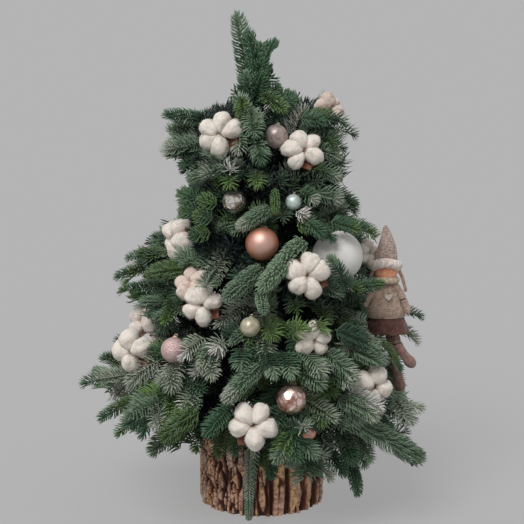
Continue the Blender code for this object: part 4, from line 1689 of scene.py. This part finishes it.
WHITE = BallFinish("white_chalk", Glaze.CHALK, (0.77, 0.755, 0.725), (0.7, 0.685, 0.655))
TWEED = ClothFinish("tweed", Cloth.TWEED, (0.6, 0.465, 0.4), (0.3, 0.215, 0.175))
PLUSH = ClothFinish("plush_white", Cloth.PLUSH, (0.95, 0.85, 0.78), (0.66, 0.55, 0.48))
FACE = ClothFinish("face_felt", Cloth.FELT, (0.96, 0.46, 0.29), (0.8, 0.345, 0.2))
CREAM = ClothFinish("cream_wool", Cloth.PLUSH, (0.66, 0.55, 0.41), (0.4, 0.32, 0.23))
HAIR = ClothFinish("braid_wool", Cloth.PLUSH, (0.46, 0.3, 0.235), (0.27, 0.17, 0.13))
KNIT = ClothFinish("tan_knit", Cloth.KNIT, (0.58, 0.425, 0.33), (0.36, 0.255, 0.195))
BROWN = ClothFinish("brown_felt", Cloth.FELT, (0.165, 0.078, 0.062), (0.09, 0.04, 0.033))
MAUVE = ClothFinish("mauve_felt", Cloth.FELT, (0.33, 0.2, 0.17), (0.2, 0.115, 0.098))
PATCH = ClothFinish("patch_felt", Cloth.FELT, (0.7, 0.66, 0.58), (0.55, 0.5, 0.43))

BACK_STARTS = 0.02              # how far back a decoration stands when it faces backwards


def frame_of(facing: Vector) -> Matrix:
    """A rotation whose local z points along facing and whose local y points most nearly up."""
    ahead = facing.normalized()
    right = UP.cross(ahead).normalized()
    return Matrix((right, ahead.cross(right), ahead)).transposed()


def set_down(place: Place, facing: Vector, *pieces: Piece) -> None:
    """Move pieces from the origin to a place, with their z axis along facing."""
    turned = Matrix.Translation(place) @ frame_of(facing).to_4x4()
    for piece in pieces:
        piece.data.transform(turned)


def open_side(place: Place) -> Vector:
    """The way in which a decoration at a place looks out of the crown."""
    outward = Vector((place[0], place[1], 0.0)).normalized()
    front = FRONT if place[1] < BACK_STARTS else Vector()
    return (outward * 0.75 + front * 0.65 + UP * 0.12).normalized()


def wire_to_crown(name: str, start: Vector, place: Place, radius: float, reach: float = 0.75) -> Piece:
    """A wire or stalk from a decoration back to the boughs by the trunk.

    Args:
        name: The piece's name.
        start: Where it leaves the decoration.
        place: The decoration's middle.
        radius: Its radius at the decoration.
        reach: How much of the way to the trunk it goes.

    Returns:
        The tube.
    """
    inner = trunk_centre(min(TRUNK_TIP, max(LOG_HEIGHT, place[2] - 0.45 * math.hypot(place[0], place[1]) - 0.015)))
    end = start.lerp(inner, reach)
    bend = start.lerp(end, 0.5) - UP * 0.006
    return tube(name, (start, bend, end), (radius, radius * 0.7), 8, 10, 0.1)


@dataclass
class CottonBoll:
    """An opened boll: lobes of lint round a cleft, husk points between them and a stalk.

    Attributes:
        name: What the boll is called.
        centre: Its middle.
        radius: Half its width.
        turn: How far its ring of lobes is turned, in degrees.
        lobes: How many lobes it has.
        gap: How many degrees its lobes leave open towards turn, where a husk shows.
        tilt: What is added to the way it faces.
        clear: Share of its radius that needles keep off.
        darker: Whether its lint is a darker pinkish brown, which is painted shade on boll_e_upper.
    """

    name: str
    centre: Place
    radius: float
    turn: float = 0.0
    gap: float = 10.0
    lobes: int = 5
    tilt: Place = (0.0, 0.0, 0.0)
    clear: float = 0.86
    darker: bool = False

    @property
    def facing(self) -> Vector:
        """The way it faces."""
        return (open_side(self.centre) + Vector(self.tilt)).normalized()

    @property
    def spread(self) -> float:
        """Degrees from one lobe to the next."""
        return (360.0 - self.gap) / self.lobes

    def clearing(self) -> Clearing:
        """The space that needles leave it."""
        return Clearing(self.centre, self.radius * self.clear, tuple(self.facing))

    def lobe(self, index: int, rng: random.Random) -> Piece:
        """One lock of lint, wide outside and narrow at the cleft."""
        piece = ball(f"{self.name}_lobe_{index}", 5)
        turn = math.radians(self.turn + 0.5 * self.gap + self.spread * (index + 0.5) + rng.uniform(-6.0, 6.0))
        size = rng.uniform(0.88, 1.1)
        drop, pinch, crease = rng.uniform(-0.12, 0.1), rng.uniform(-0.1, 0.26), rng.uniform(-0.4, 0.4)
        seed = Vector((rng.uniform(0, 50), rng.uniform(0, 50), rng.uniform(0, 50)))
        radius, around = self.radius, Matrix.Rotation(turn, 3, "Z")
        tangential = 0.0067 * self.spread * size
        clefts = []

        def place(point: Vector) -> Vector:
            # How far each point lies in the cleft, for the painted shade there.
            clefts.append(max(smooth(0.55, 1.0, -point.x), 0.55 * smooth(0.7, 1.0, abs(point.y))))
            soft = noise.noise(point * 1.2 + seed) * 0.17 + noise.noise(point * 3.0 + seed) * 0.03
            soft += noise.noise(point * 9.0 + seed) * 0.012
            fold = 0.035 * math.exp(-((point.y - crease) / 0.16) ** 2) * smooth(-0.2, 0.7, point.x)
            point = point * (1.0 + soft - fold)
            wide = 0.86 + 0.2 * point.x - pinch * max(0.0, point.x) ** 2
            local = Vector((0.515 + 0.495 * size * point.x, tangential * wide * point.y,
                            drop + 0.48 * point.z * (0.95 + 0.12 * point.x)))
            local.z -= 0.14 * local.x * local.x
            return around @ (local * radius)

        shape_ball(piece, place)
        mark(piece, "cleft", clefts)
        return piece

    def wisps(self, lobes: Sequence[Piece], rng: random.Random) -> Piece:
        """Loose fibres that stand off the lint."""
        rows = []
        for lobe in lobes:
            for vertex in rng.sample(list(lobe.data.vertices), 150):
                root, out = vertex.co.copy(), vertex.normal.copy()
                way = (out + Vector([rng.uniform(-0.9, 0.9) for _ in range(3)])).normalized()
                side = way.cross(out + Vector((0.01, 0.0, 0.0))).normalized() * 0.00013
                deep = side.cross(way) * 0.6
                long = self.radius * rng.uniform(0.05, 0.12)
                bend = root + way * (0.5 * long)
                tip = bend + (way + out * 0.4).normalized() * (0.5 * long)
                root = root - out * 0.0004
                rows.append([root - side, root + side, root + deep, bend - side, bend + side, bend + deep, tip])
        points = np.array([[tuple(point) for point in row] for row in rows])
        return blades(f"{self.name}_wisps", points, np.zeros(len(rows)), np.zeros(len(NEEDLE_SIDES)))

    def leaf(self, index: int, rng: random.Random) -> Piece:
        """One pointed husk between two lobes, the first of them the longest and widest."""
        select_only()
        bpy.ops.mesh.primitive_grid_add(x_subdivisions=6, y_subdivisions=10, size=1.0)
        leaf = added(f"{self.name}_leaf_{index}")
        turn = math.radians(self.turn + (0.5 * self.gap + self.spread * index if index else 0.0))
        around = Matrix.Rotation(turn, 3, "Z")
        curl = rng.uniform(0.05, 0.2)
        reach, full = (rng.uniform(0.48, 0.66), 0.5) if index else (0.82, 0.62)
        for vertex in leaf.data.vertices:
            t, across = vertex.co.y + 0.5, vertex.co.x * 2.0
            wide = full * math.sin(math.pi * min(1.0, 0.22 + 0.78 * t)) ** 0.8 + 0.02
            far = 0.16 + reach * t
            height = -0.36 + 0.46 * t ** 1.5 - curl * t ** 4 - 0.1 * across ** 2 * wide
            height += 0.02 * math.sin(9.0 * t + 5.0 * across)
            vertex.co = around @ (Vector((far, across * wide * 0.55, height)) * self.radius)
        leaf.modifiers.new("thickness", "SOLIDIFY").thickness = 0.0007
        select_only(leaf)
        bpy.ops.object.modifier_apply(modifier="thickness")
        smooth_shade(leaf)
        return leaf

    def husk(self, rng: random.Random) -> Piece:
        """A cup behind the lint with one pointed husk between each two lobes."""
        cup = ball(f"{self.name}_cup", 3)
        shape_ball(cup, lambda p: Vector((p.x * 0.42, p.y * 0.42, -0.34 + 0.2 * p.z)) * self.radius, 40.0)
        return join([cup, *(self.leaf(index, rng) for index in range(self.lobes))], f"{self.name}_husk")

    def build(self) -> Iterator[Piece]:
        """Make the boll at its place."""
        rng = random.Random(f"{SEED}-{self.name}")
        lobes = [self.lobe(index, rng) for index in range(self.lobes)]
        white = join([*lobes, self.wisps(lobes, rng)], f"{self.name}_lint")
        brown = self.husk(rng)
        set_down(self.centre, self.facing, white, brown)
        back = Vector(self.centre) - self.facing * (self.radius * 0.45)
        stalk = wire_to_crown(f"{self.name}_stalk", back, self.centre, 0.0014, 0.55)
        yield dress(white, "cotton", (DARKER_LINT if self.darker else LINT).build())
        yield dress(join([brown, stalk], f"{self.name}_husk"), "bark", HuskFinish().build())


@dataclass
class GlassBall:
    """A hanging ball: blown body with a neck, crimped cap, ring and wire.

    Attributes:
        name: What the ball is called.
        centre: Its middle.
        radius: Its radius.
        finish: Its surface.
        neck: The way its neck points, on a ball at the front.
        clear: Share of its radius that needles keep off.
        sides: Faces round it.
        rings: Rows of faces up it.
    """

    name: str
    centre: Place
    radius: float
    finish: BallFinish
    neck: Place = (0.1, 0.75, 0.75)
    clear: float = 0.92
    sides: int = 56
    rings: int = 40

    def clearing(self) -> Clearing:
        """The space that needles leave it."""
        return Clearing(self.centre, self.radius * self.clear, tuple(open_side(self.centre)))

    def body(self) -> Piece:
        """The blown body with its neck, about its own middle."""
        piece = grid_cylinder(self.name, self.sides, self.rings)

        def place(angle: float, t: float, radius: float) -> Vector:
            if t < 0.92:
                lift = math.radians(-88.5 + 164.0 * t / 0.92)
                wide, high = math.cos(lift), math.sin(lift)
            else:
                share = (t - 0.92) / 0.08
                wide, high = 0.25 - 0.055 * share, 0.968 + 0.1 * share
            if t == 0.0:
                wide *= radius
            return Vector((math.cos(angle) * wide * radius, math.sin(angle) * wide * radius, high)) * self.radius

        return shape_rings(piece, place, 50.0)

    def cap(self) -> Piece:
        """The crimped cap and its ring, about the ball's middle."""
        crown = grid_cylinder(f"{self.name}_cap", 48, 8)

        def place(angle: float, t: float, radius: float) -> Vector:
            flute = 1.0 + 0.06 * math.cos(16.0 * angle) * (1.0 - t)
            wide = (0.255 if t < 0.95 else 0.225) * flute * radius
            return round_z(angle, wide, 0.975 + 0.2 * t) * self.radius

        shape_rings(crown, place)
        select_only()
        bpy.ops.mesh.primitive_torus_add(major_segments=28, minor_segments=8, major_radius=0.16 * self.radius,
                                         minor_radius=max(0.00035, 0.022 * self.radius))
        ring = added(f"{self.name}_ring")
        ring.data.transform(Matrix.Translation((0.0, 0.0, 1.3 * self.radius)) @ Matrix.Rotation(math.pi / 2, 4, "X"))
        smooth_shade(ring)
        return join([crown, ring], f"{self.name}_cap")

    def build(self) -> Iterator[Piece]:
        """Make the ball at its place."""
        neck = Vector(self.neck)
        if self.centre[1] > BACK_STARTS:
            neck.y = -neck.y
        body, cap = self.body(), self.cap()
        set_down(self.centre, neck, body, cap)
        top = Vector(self.centre) + neck.normalized() * (1.42 * self.radius)
        wire = wire_to_crown(f"{self.name}_wire", top, self.centre, 0.0005, 0.6)
        yield dress(body, "ornament", self.finish.build())
        yield dress(join([cap, wire], f"{self.name}_cap"), "ornament", CAP_METAL.build())


# The doll's turned bodies as rows from the lowest to the highest: the height, the half width and how
# far the middle lies to the right and to the back, in millimetres about its face.
HAT = ((12.0, 13.4, -2.6, 2.0), (16.5, 13.4, -2.4, 2.0), (29.5, 10.4, -1.4, 2.0), (41.0, 6.4, -1.8, 2.5),
       (50.0, 3.2, -3.0, 3.0), (53.0, 0.8, -3.2, 3.0))
COAT = ((-53.0, 22.2, -2.4, 2.0), (-40.0, 20.0, -2.4, 2.0), (-28.0, 16.4, -2.4, 2.0), (-17.0, 12.0, -2.4, 2.0),
        (-11.0, 9.0, -2.4, 2.0))
HEM = ((-55.5, 22.8, -2.4, 2.0), (-51.0, 23.8, -2.4, 2.0), (-43.5, 21.8, -2.4, 2.0), (-40.5, 19.8, -2.4, 2.0))
SKIRT = ((-75.0, 24.6, 1.2, 2.0), (-73.0, 24.6, 1.2, 2.0), (-62.0, 22.3, -0.5, 2.0), (-50.0, 19.5, -2.0, 2.0))
# Its right and left limbs: three points, the radii at the first and the last, and that of the end.
BRAIDS = ((((13.0, 0.0, -2.0), (17.5, -8.0, -5.0), (20.5, -22.0, -5.0)), (2.2, 1.8), 2.1),
          (((-17.0, 2.0, -2.0), (-21.0, -5.0, -4.0), (-20.0, -14.0, -4.0)), (2.4, 2.0), 2.6))
ARMS = ((((6.5, -15.0, 0.0), (17.0, -27.0, -3.0), (23.0, -46.0, -5.0)), (4.2, 4.0), 4.4),
        (((-11.0, -15.0, 0.0), (-20.0, -26.0, -3.0), (-27.0, -40.0, -6.0)), (4.2, 4.0), 4.4))
LEGS = ((((7.0, -68.0, 1.0), (8.0, -88.0, -1.0), (27.0, -109.0, -3.0)), (5.8, 5.4), 6.8),
        (((2.0, -68.0, 4.0), (10.0, -108.0, 3.0), (16.0, -138.0, 0.0)), (5.6, 5.4), 6.8))
# The places that needles leave it: right, up, and the radius.
DOLL_SPACES = ((-2.0, 34.0, 9.0), (-2.0, 8.0, 17.0), (0.0, -14.0, 15.0), (-2.0, -34.0, 20.0), (2.0, -60.0, 23.0),
               (6.0, -88.0, 9.0), (16.0, -104.0, 10.0), (27.0, -114.0, 9.0), (8.0, -118.0, 8.0),
               (14.0, -136.0, 10.0))
DOLL_OPEN_SIDE = (-0.08, -0.98, 0.19)


@dataclass
class Doll:
    """A soft felt doll in a pointed hat, with all sizes in millimetres about its face."""

    face: Place = (0.1475, -0.022, 0.285)
    flatness: float = 0.66
    lean: float = 3.4

    def point(self, right: float, high: float, back: float = 0.0) -> Vector:
        """A place on the doll, from millimetres right of, above and behind its face."""
        return Vector(self.face) + Vector((right, back, high)) * 0.001

    def clearings(self) -> list[Clearing]:
        """The spaces that needles leave it."""
        return [Clearing(tuple(self.point(right, high)), size * 0.001, DOLL_OPEN_SIDE, 0.11)
                for right, high, size in DOLL_SPACES]

    def turned(self, name: str, rows: Sequence[Row], sides: int = 64, folds: int = 0, depth: float = 0.0) -> Piece:
        """A soft body turned round a line that may lean.

        Args:
            name: The piece's name.
            rows: From the lowest to the highest.
            sides: Faces round it.
            folds: How many folds run down it.
            depth: How deep they are, as a share of its width.

        Returns:
            The object, closed at both ends.
        """
        rings = 8 * (len(rows) - 1)
        piece = grid_cylinder(name, sides, rings)

        def place(angle: float, t: float, radius: float) -> Vector:
            spot = min(t * (len(rows) - 1), len(rows) - 1.0001)
            index = int(spot)
            share = smooth(0.0, 1.0, spot - index) * 0.5 + (spot - index) * 0.5
            high, wide, right, back = (a + (b - a) * share for a, b in zip(rows[index], rows[index + 1]))
            wide *= 1.0 + depth * math.cos(folds * angle) * (1.0 - t)
            wide += 0.35 * noise.noise(round_z(angle, 2.0, high * 0.12))
            return self.point(right + math.cos(angle) * wide * radius, high,
                              back + math.sin(angle) * wide * self.flatness * radius)

        return shape_rings(piece, place, 60.0)

    def roll(self, name: str, wide: float, thick: float, high: float, sag: float, lumps: float) -> Piece:
        """A plush roll round the head, lower at its sides by sag."""
        select_only()
        bpy.ops.mesh.primitive_torus_add(major_segments=72, minor_segments=20, major_radius=1.0, minor_radius=0.3)
        piece = added(name)
        for vertex in piece.data.vertices:
            angle = math.atan2(vertex.co.y, vertex.co.x)
            ring = math.hypot(vertex.co.x, vertex.co.y) - 1.0
            rough = 1.0 + lumps * noise.noise(round_z(angle, 5.0, vertex.co.z * 7.0))
            rough += 0.5 * lumps * noise.noise(round_z(angle, 15, vertex.co.z * 20))
            out = wide + ring / 0.3 * thick * rough
            vertex.co = self.point(math.cos(angle) * out - self.lean, high + vertex.co.z / 0.3 * thick * rough
                                   - sag * math.cos(angle) ** 2, 2.0 + math.sin(angle) * out * 0.86)
        smooth_shade(piece, 60.0)
        return piece

    def limb(self, name: str, ends: Sequence[Place], radii: Range, knob: float) -> Piece:
        """A stuffed tube through three points, with a rounded end of its own radius."""
        start, bend, tip = (self.point(*place) for place in ends)
        arm = tube(name, (start, bend, tip), (radii[0] * 0.001, radii[1] * 0.001), 20, 24, 0.1)
        end = ball(f"{name}_end", 4)
        turned = frame_of((tip - bend).normalized())
        shape_ball(end, lambda p: tip + turned @ Vector((p.x * knob, p.y * knob, p.z * knob * 1.35)) * 0.001)
        return join([arm, end], name)

    def pair(self, name: str, limbs: Sequence[tuple[Sequence[Place], Range, float]]) -> Piece:
        """A right and a left limb as one piece."""
        return join([self.limb(f"{name}_{index}", *limb) for index, limb in enumerate(limbs)], name)

    def head(self) -> Piece:
        """The round face and the back of the head."""
        return shape_ball(ball("doll_head", 5),
                          lambda p: self.point(p.x * 13.6 - 2.0, -1.0 + p.z * 12.4, 1.5 + p.y * 11.6))

    def coat(self) -> Piece:
        """The knitted coat with its ribbed hem."""
        return join([self.turned("coat_body", COAT, 96, 11, 0.02), self.turned("coat_hem", HEM, 160, 52, 0.016)],
                    "doll_coat")

    def patch(self) -> Piece:
        """A small felt heart on the coat."""
        piece = grid_cylinder("doll_patch", 48, 2)

        def place(angle: float, t: float, radius: float) -> Vector:
            across = 4.4 * math.sin(angle) ** 3 * radius
            high = (3.6 * math.cos(angle) - 1.4 * math.cos(2 * angle) - 0.55 * math.cos(3 * angle)) * radius
            return self.point(0.0 + across, -29.0 + high, -12.9 - 0.8 * t + 0.045 * across * across)

        face_outwards(shape_rings(piece, place, 60.0))
        return piece

    def pick(self) -> Piece:
        """The wire that holds the doll in the crown."""
        start = self.point(0.0, -28.0, 9.0)
        return wire_to_crown("doll_pick", start, tuple(start), 0.0012, 0.6)

    def build(self) -> Iterator[Piece]:
        """Make the doll piece by piece, from the hat down to the feet."""
        for piece, finish in (
            (self.turned("doll_hat", HAT), TWEED),
            (self.roll("doll_hat_band", 14.6, 6.0, 10.6, 4.6, 0.22), PLUSH),
            (self.head(), FACE),
            (self.roll("doll_collar", 13.2, 4.0, -10.4, 1.4, 0.2), CREAM),
            (self.pair("doll_braids", BRAIDS), HAIR),
            (self.coat(), KNIT),
            (self.patch(), PATCH),
            (self.turned("doll_skirt", SKIRT, 128, 9, 0.05), BROWN),
            (self.pair("doll_arms", ARMS), KNIT),
            (self.pair("doll_legs", LEGS), MAUVE),
        ):
            yield dress(piece, "felt", finish.build())
        yield dress(self.pick(), "ornament", FLORIST_WIRE.build())


# Where everything goes

BALLS = (
    GlassBall("ball_silver", (-0.031, -0.09, 0.377), 0.0135, SILVER),
    GlassBall("ball_mint", (0.035, -0.089, 0.376), 0.009, MINT),
    GlassBall("ball_copper", (0.0, -0.113, 0.333), 0.0185, COPPER),
    GlassBall("ball_blush", (0.016, -0.075, 0.448), 0.0135, BLUSH, clear=0.8),
    GlassBall("ball_white", (0.0856, -0.075, 0.3121), 0.0288, WHITE, clear=0.86),
    GlassBall("ball_olive", (-0.013, -0.149, 0.247), 0.0112, OLIVE),
    GlassBall("ball_glitter", (-0.098, -0.133, 0.217), 0.0142, FROSTED),
    GlassBall("ball_rose", (0.032, -0.174, 0.172), 0.0165, ROSE),
    GlassBall("ball_small_copper", (0.052, -0.157, 0.129), 0.008, COPPER, clear=0.6),
    GlassBall("ball_back_copper", (0.02, 0.118, 0.318), 0.0185, COPPER),
    GlassBall("ball_back_silver", (-0.042, 0.088, 0.395), 0.0135, SILVER),
    GlassBall("ball_back_glitter", (0.088, 0.138, 0.222), 0.0142, FROSTED),
    GlassBall("ball_back_rose", (-0.04, 0.176, 0.168), 0.0165, ROSE),
)

BOLLS = (
    CottonBoll("boll_a", (-0.047, -0.08, 0.451), 0.0255, -31.0, 42.0),
    CottonBoll("boll_b", (0.046, -0.083, 0.433), 0.024, -75.0, 36.0, tilt=(0.0, 0.0, 0.25)),
    CottonBoll("boll_c", (0.0795, -0.003, 0.4735), 0.0195, 215.0, 60.0, tilt=(0.1, -0.2, 0.5), clear=0.9,
               darker=True),
    CottonBoll("boll_d", (-0.098, -0.045, 0.327), 0.0258, 35.0, tilt=(-0.75, 0.1, 0.0), clear=0.86),
    CottonBoll("boll_e", (-0.066, -0.132, 0.268), 0.024, -35.0, 36.0),
    # Its darker lint is painted shade, as this boll lies in shadow.
    CottonBoll("boll_e_upper", (-0.079, -0.104, 0.287), 0.021, 75.0, tilt=(-0.2, 0.0, 0.9), clear=0.7,
               darker=True),
    CottonBoll("boll_f", (0.05, -0.131, 0.301), 0.0265, -28.0, 12.0, tilt=(0.0, 0.0, 0.15)),
    CottonBoll("boll_g", (-0.15, -0.067, 0.199), 0.0265, -35.0, 38.0, 4, tilt=(0.15, -0.2, 0.0)),
    CottonBoll("boll_g_upper", (-0.139, -0.037, 0.228), 0.021, -60.0, 20.0, 4, tilt=(-0.2, 0.0, 0.5)),
    CottonBoll("boll_h", (0.0565, -0.151, 0.2325), 0.021, 262.0, 34.0, tilt=(0.0, 0.0, -0.2), clear=0.7),
    CottonBoll("boll_i", (0.126, -0.117, 0.171), 0.024, 205.0, 34.0, 4),
    CottonBoll("boll_j", (-0.01, -0.187, 0.146), 0.0275, 235.0, 16.0),
    CottonBoll("boll_k", (0.123, -0.016, 0.305), 0.017, 40.0, clear=0.7),
    CottonBoll("boll_back_a", (0.034, 0.086, 0.438), 0.025, 20.0, 30.0),
    CottonBoll("boll_back_b", (-0.078, 0.112, 0.29), 0.0262, 70.0, 34.0),
    CottonBoll("boll_back_c", (0.03, 0.168, 0.196), 0.0262, -40.0, 20.0),
    CottonBoll("boll_back_d", (-0.128, 0.118, 0.182), 0.025, 160.0, 36.0, 4),
)


@dataclass
class Studio:
    """Pale floor, even surrounding light, one soft sun and the camera."""

    surround: float = 0.43
    floor_albedo: float = 0.15
    floor_glow: float = 0.306
    sun_strength: float = 2.3
    sun_spread: float = 36.0
    sun_way: Place = (0.34, 0.62, -0.88)
    lens: float = 106.313
    camera_pitch: float = 0.19026

    def floor(self) -> None:
        """Make the floor, wide enough to fill the view."""
        select_only()
        bpy.ops.mesh.primitive_plane_add(size=80.0, location=(0.0, 0.0, 0.0))
        floor = added("studio_floor")
        shader = Shader("studio_floor", 0.95)
        shader.colour((self.floor_albedo, self.floor_albedo, self.floor_albedo))
        shader.colour(WHOLE, "Emission Color")
        shader.set(Specular_IOR_Level=0.0, Emission_Strength=self.floor_glow)
        floor.data.materials.append(shader.material)

    def light(self) -> None:
        """Make the surrounding light and the sun."""
        scene = bpy.context.scene
        world = bpy.data.worlds.new("studio")
        scene.world = world
        world.use_nodes = True
        sky = world.node_tree.nodes["Background"]
        sky.inputs["Color"].default_value = (self.surround, self.surround, self.surround, 1.0)
        lamp = bpy.data.lights.new("sun", "SUN")
        lamp.energy = self.sun_strength
        lamp.angle = math.radians(self.sun_spread)
        sun = bpy.data.objects.new("sun", lamp)
        scene.collection.objects.link(sun)
        sun.rotation_euler = Vector(self.sun_way).to_track_quat("-Z", "Y").to_euler()

    def camera(self) -> None:
        """Make the camera, a little above the tree and looking slightly down."""
        scene = bpy.context.scene
        view = bpy.data.cameras.new("camera")
        view.sensor_width = 36.0
        view.lens = self.lens
        camera = bpy.data.objects.new("camera", view)
        scene.collection.objects.link(camera)
        camera.location = CAMERA_PLACE
        camera.rotation_euler = (math.pi / 2.0 - self.camera_pitch, 0.0, 0.0)
        scene.camera = camera

    def build(self) -> None:
        """Make floor, lights and camera."""
        bpy.context.scene.view_settings.view_transform = "Standard"
        self.floor()
        self.light()
        self.camera()


def main() -> None:
    """Build the studio and every part of the tree in order, and report each piece."""
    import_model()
    Studio().build()
    doll = Doll()
    clearings = [part.clearing() for part in (*BALLS, *BOLLS)] + doll.clearings()
    for part in (LogStand(), Wood(), Crown(clearings), *BALLS, *BOLLS, doll):
        for piece in part.build():
            LOG.info("%s: %d faces", piece.name, len(piece.data.polygons))
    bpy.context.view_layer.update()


if __name__ == "__main__":
    logging.basicConfig(level=logging.INFO, format="%(message)s")
    main()
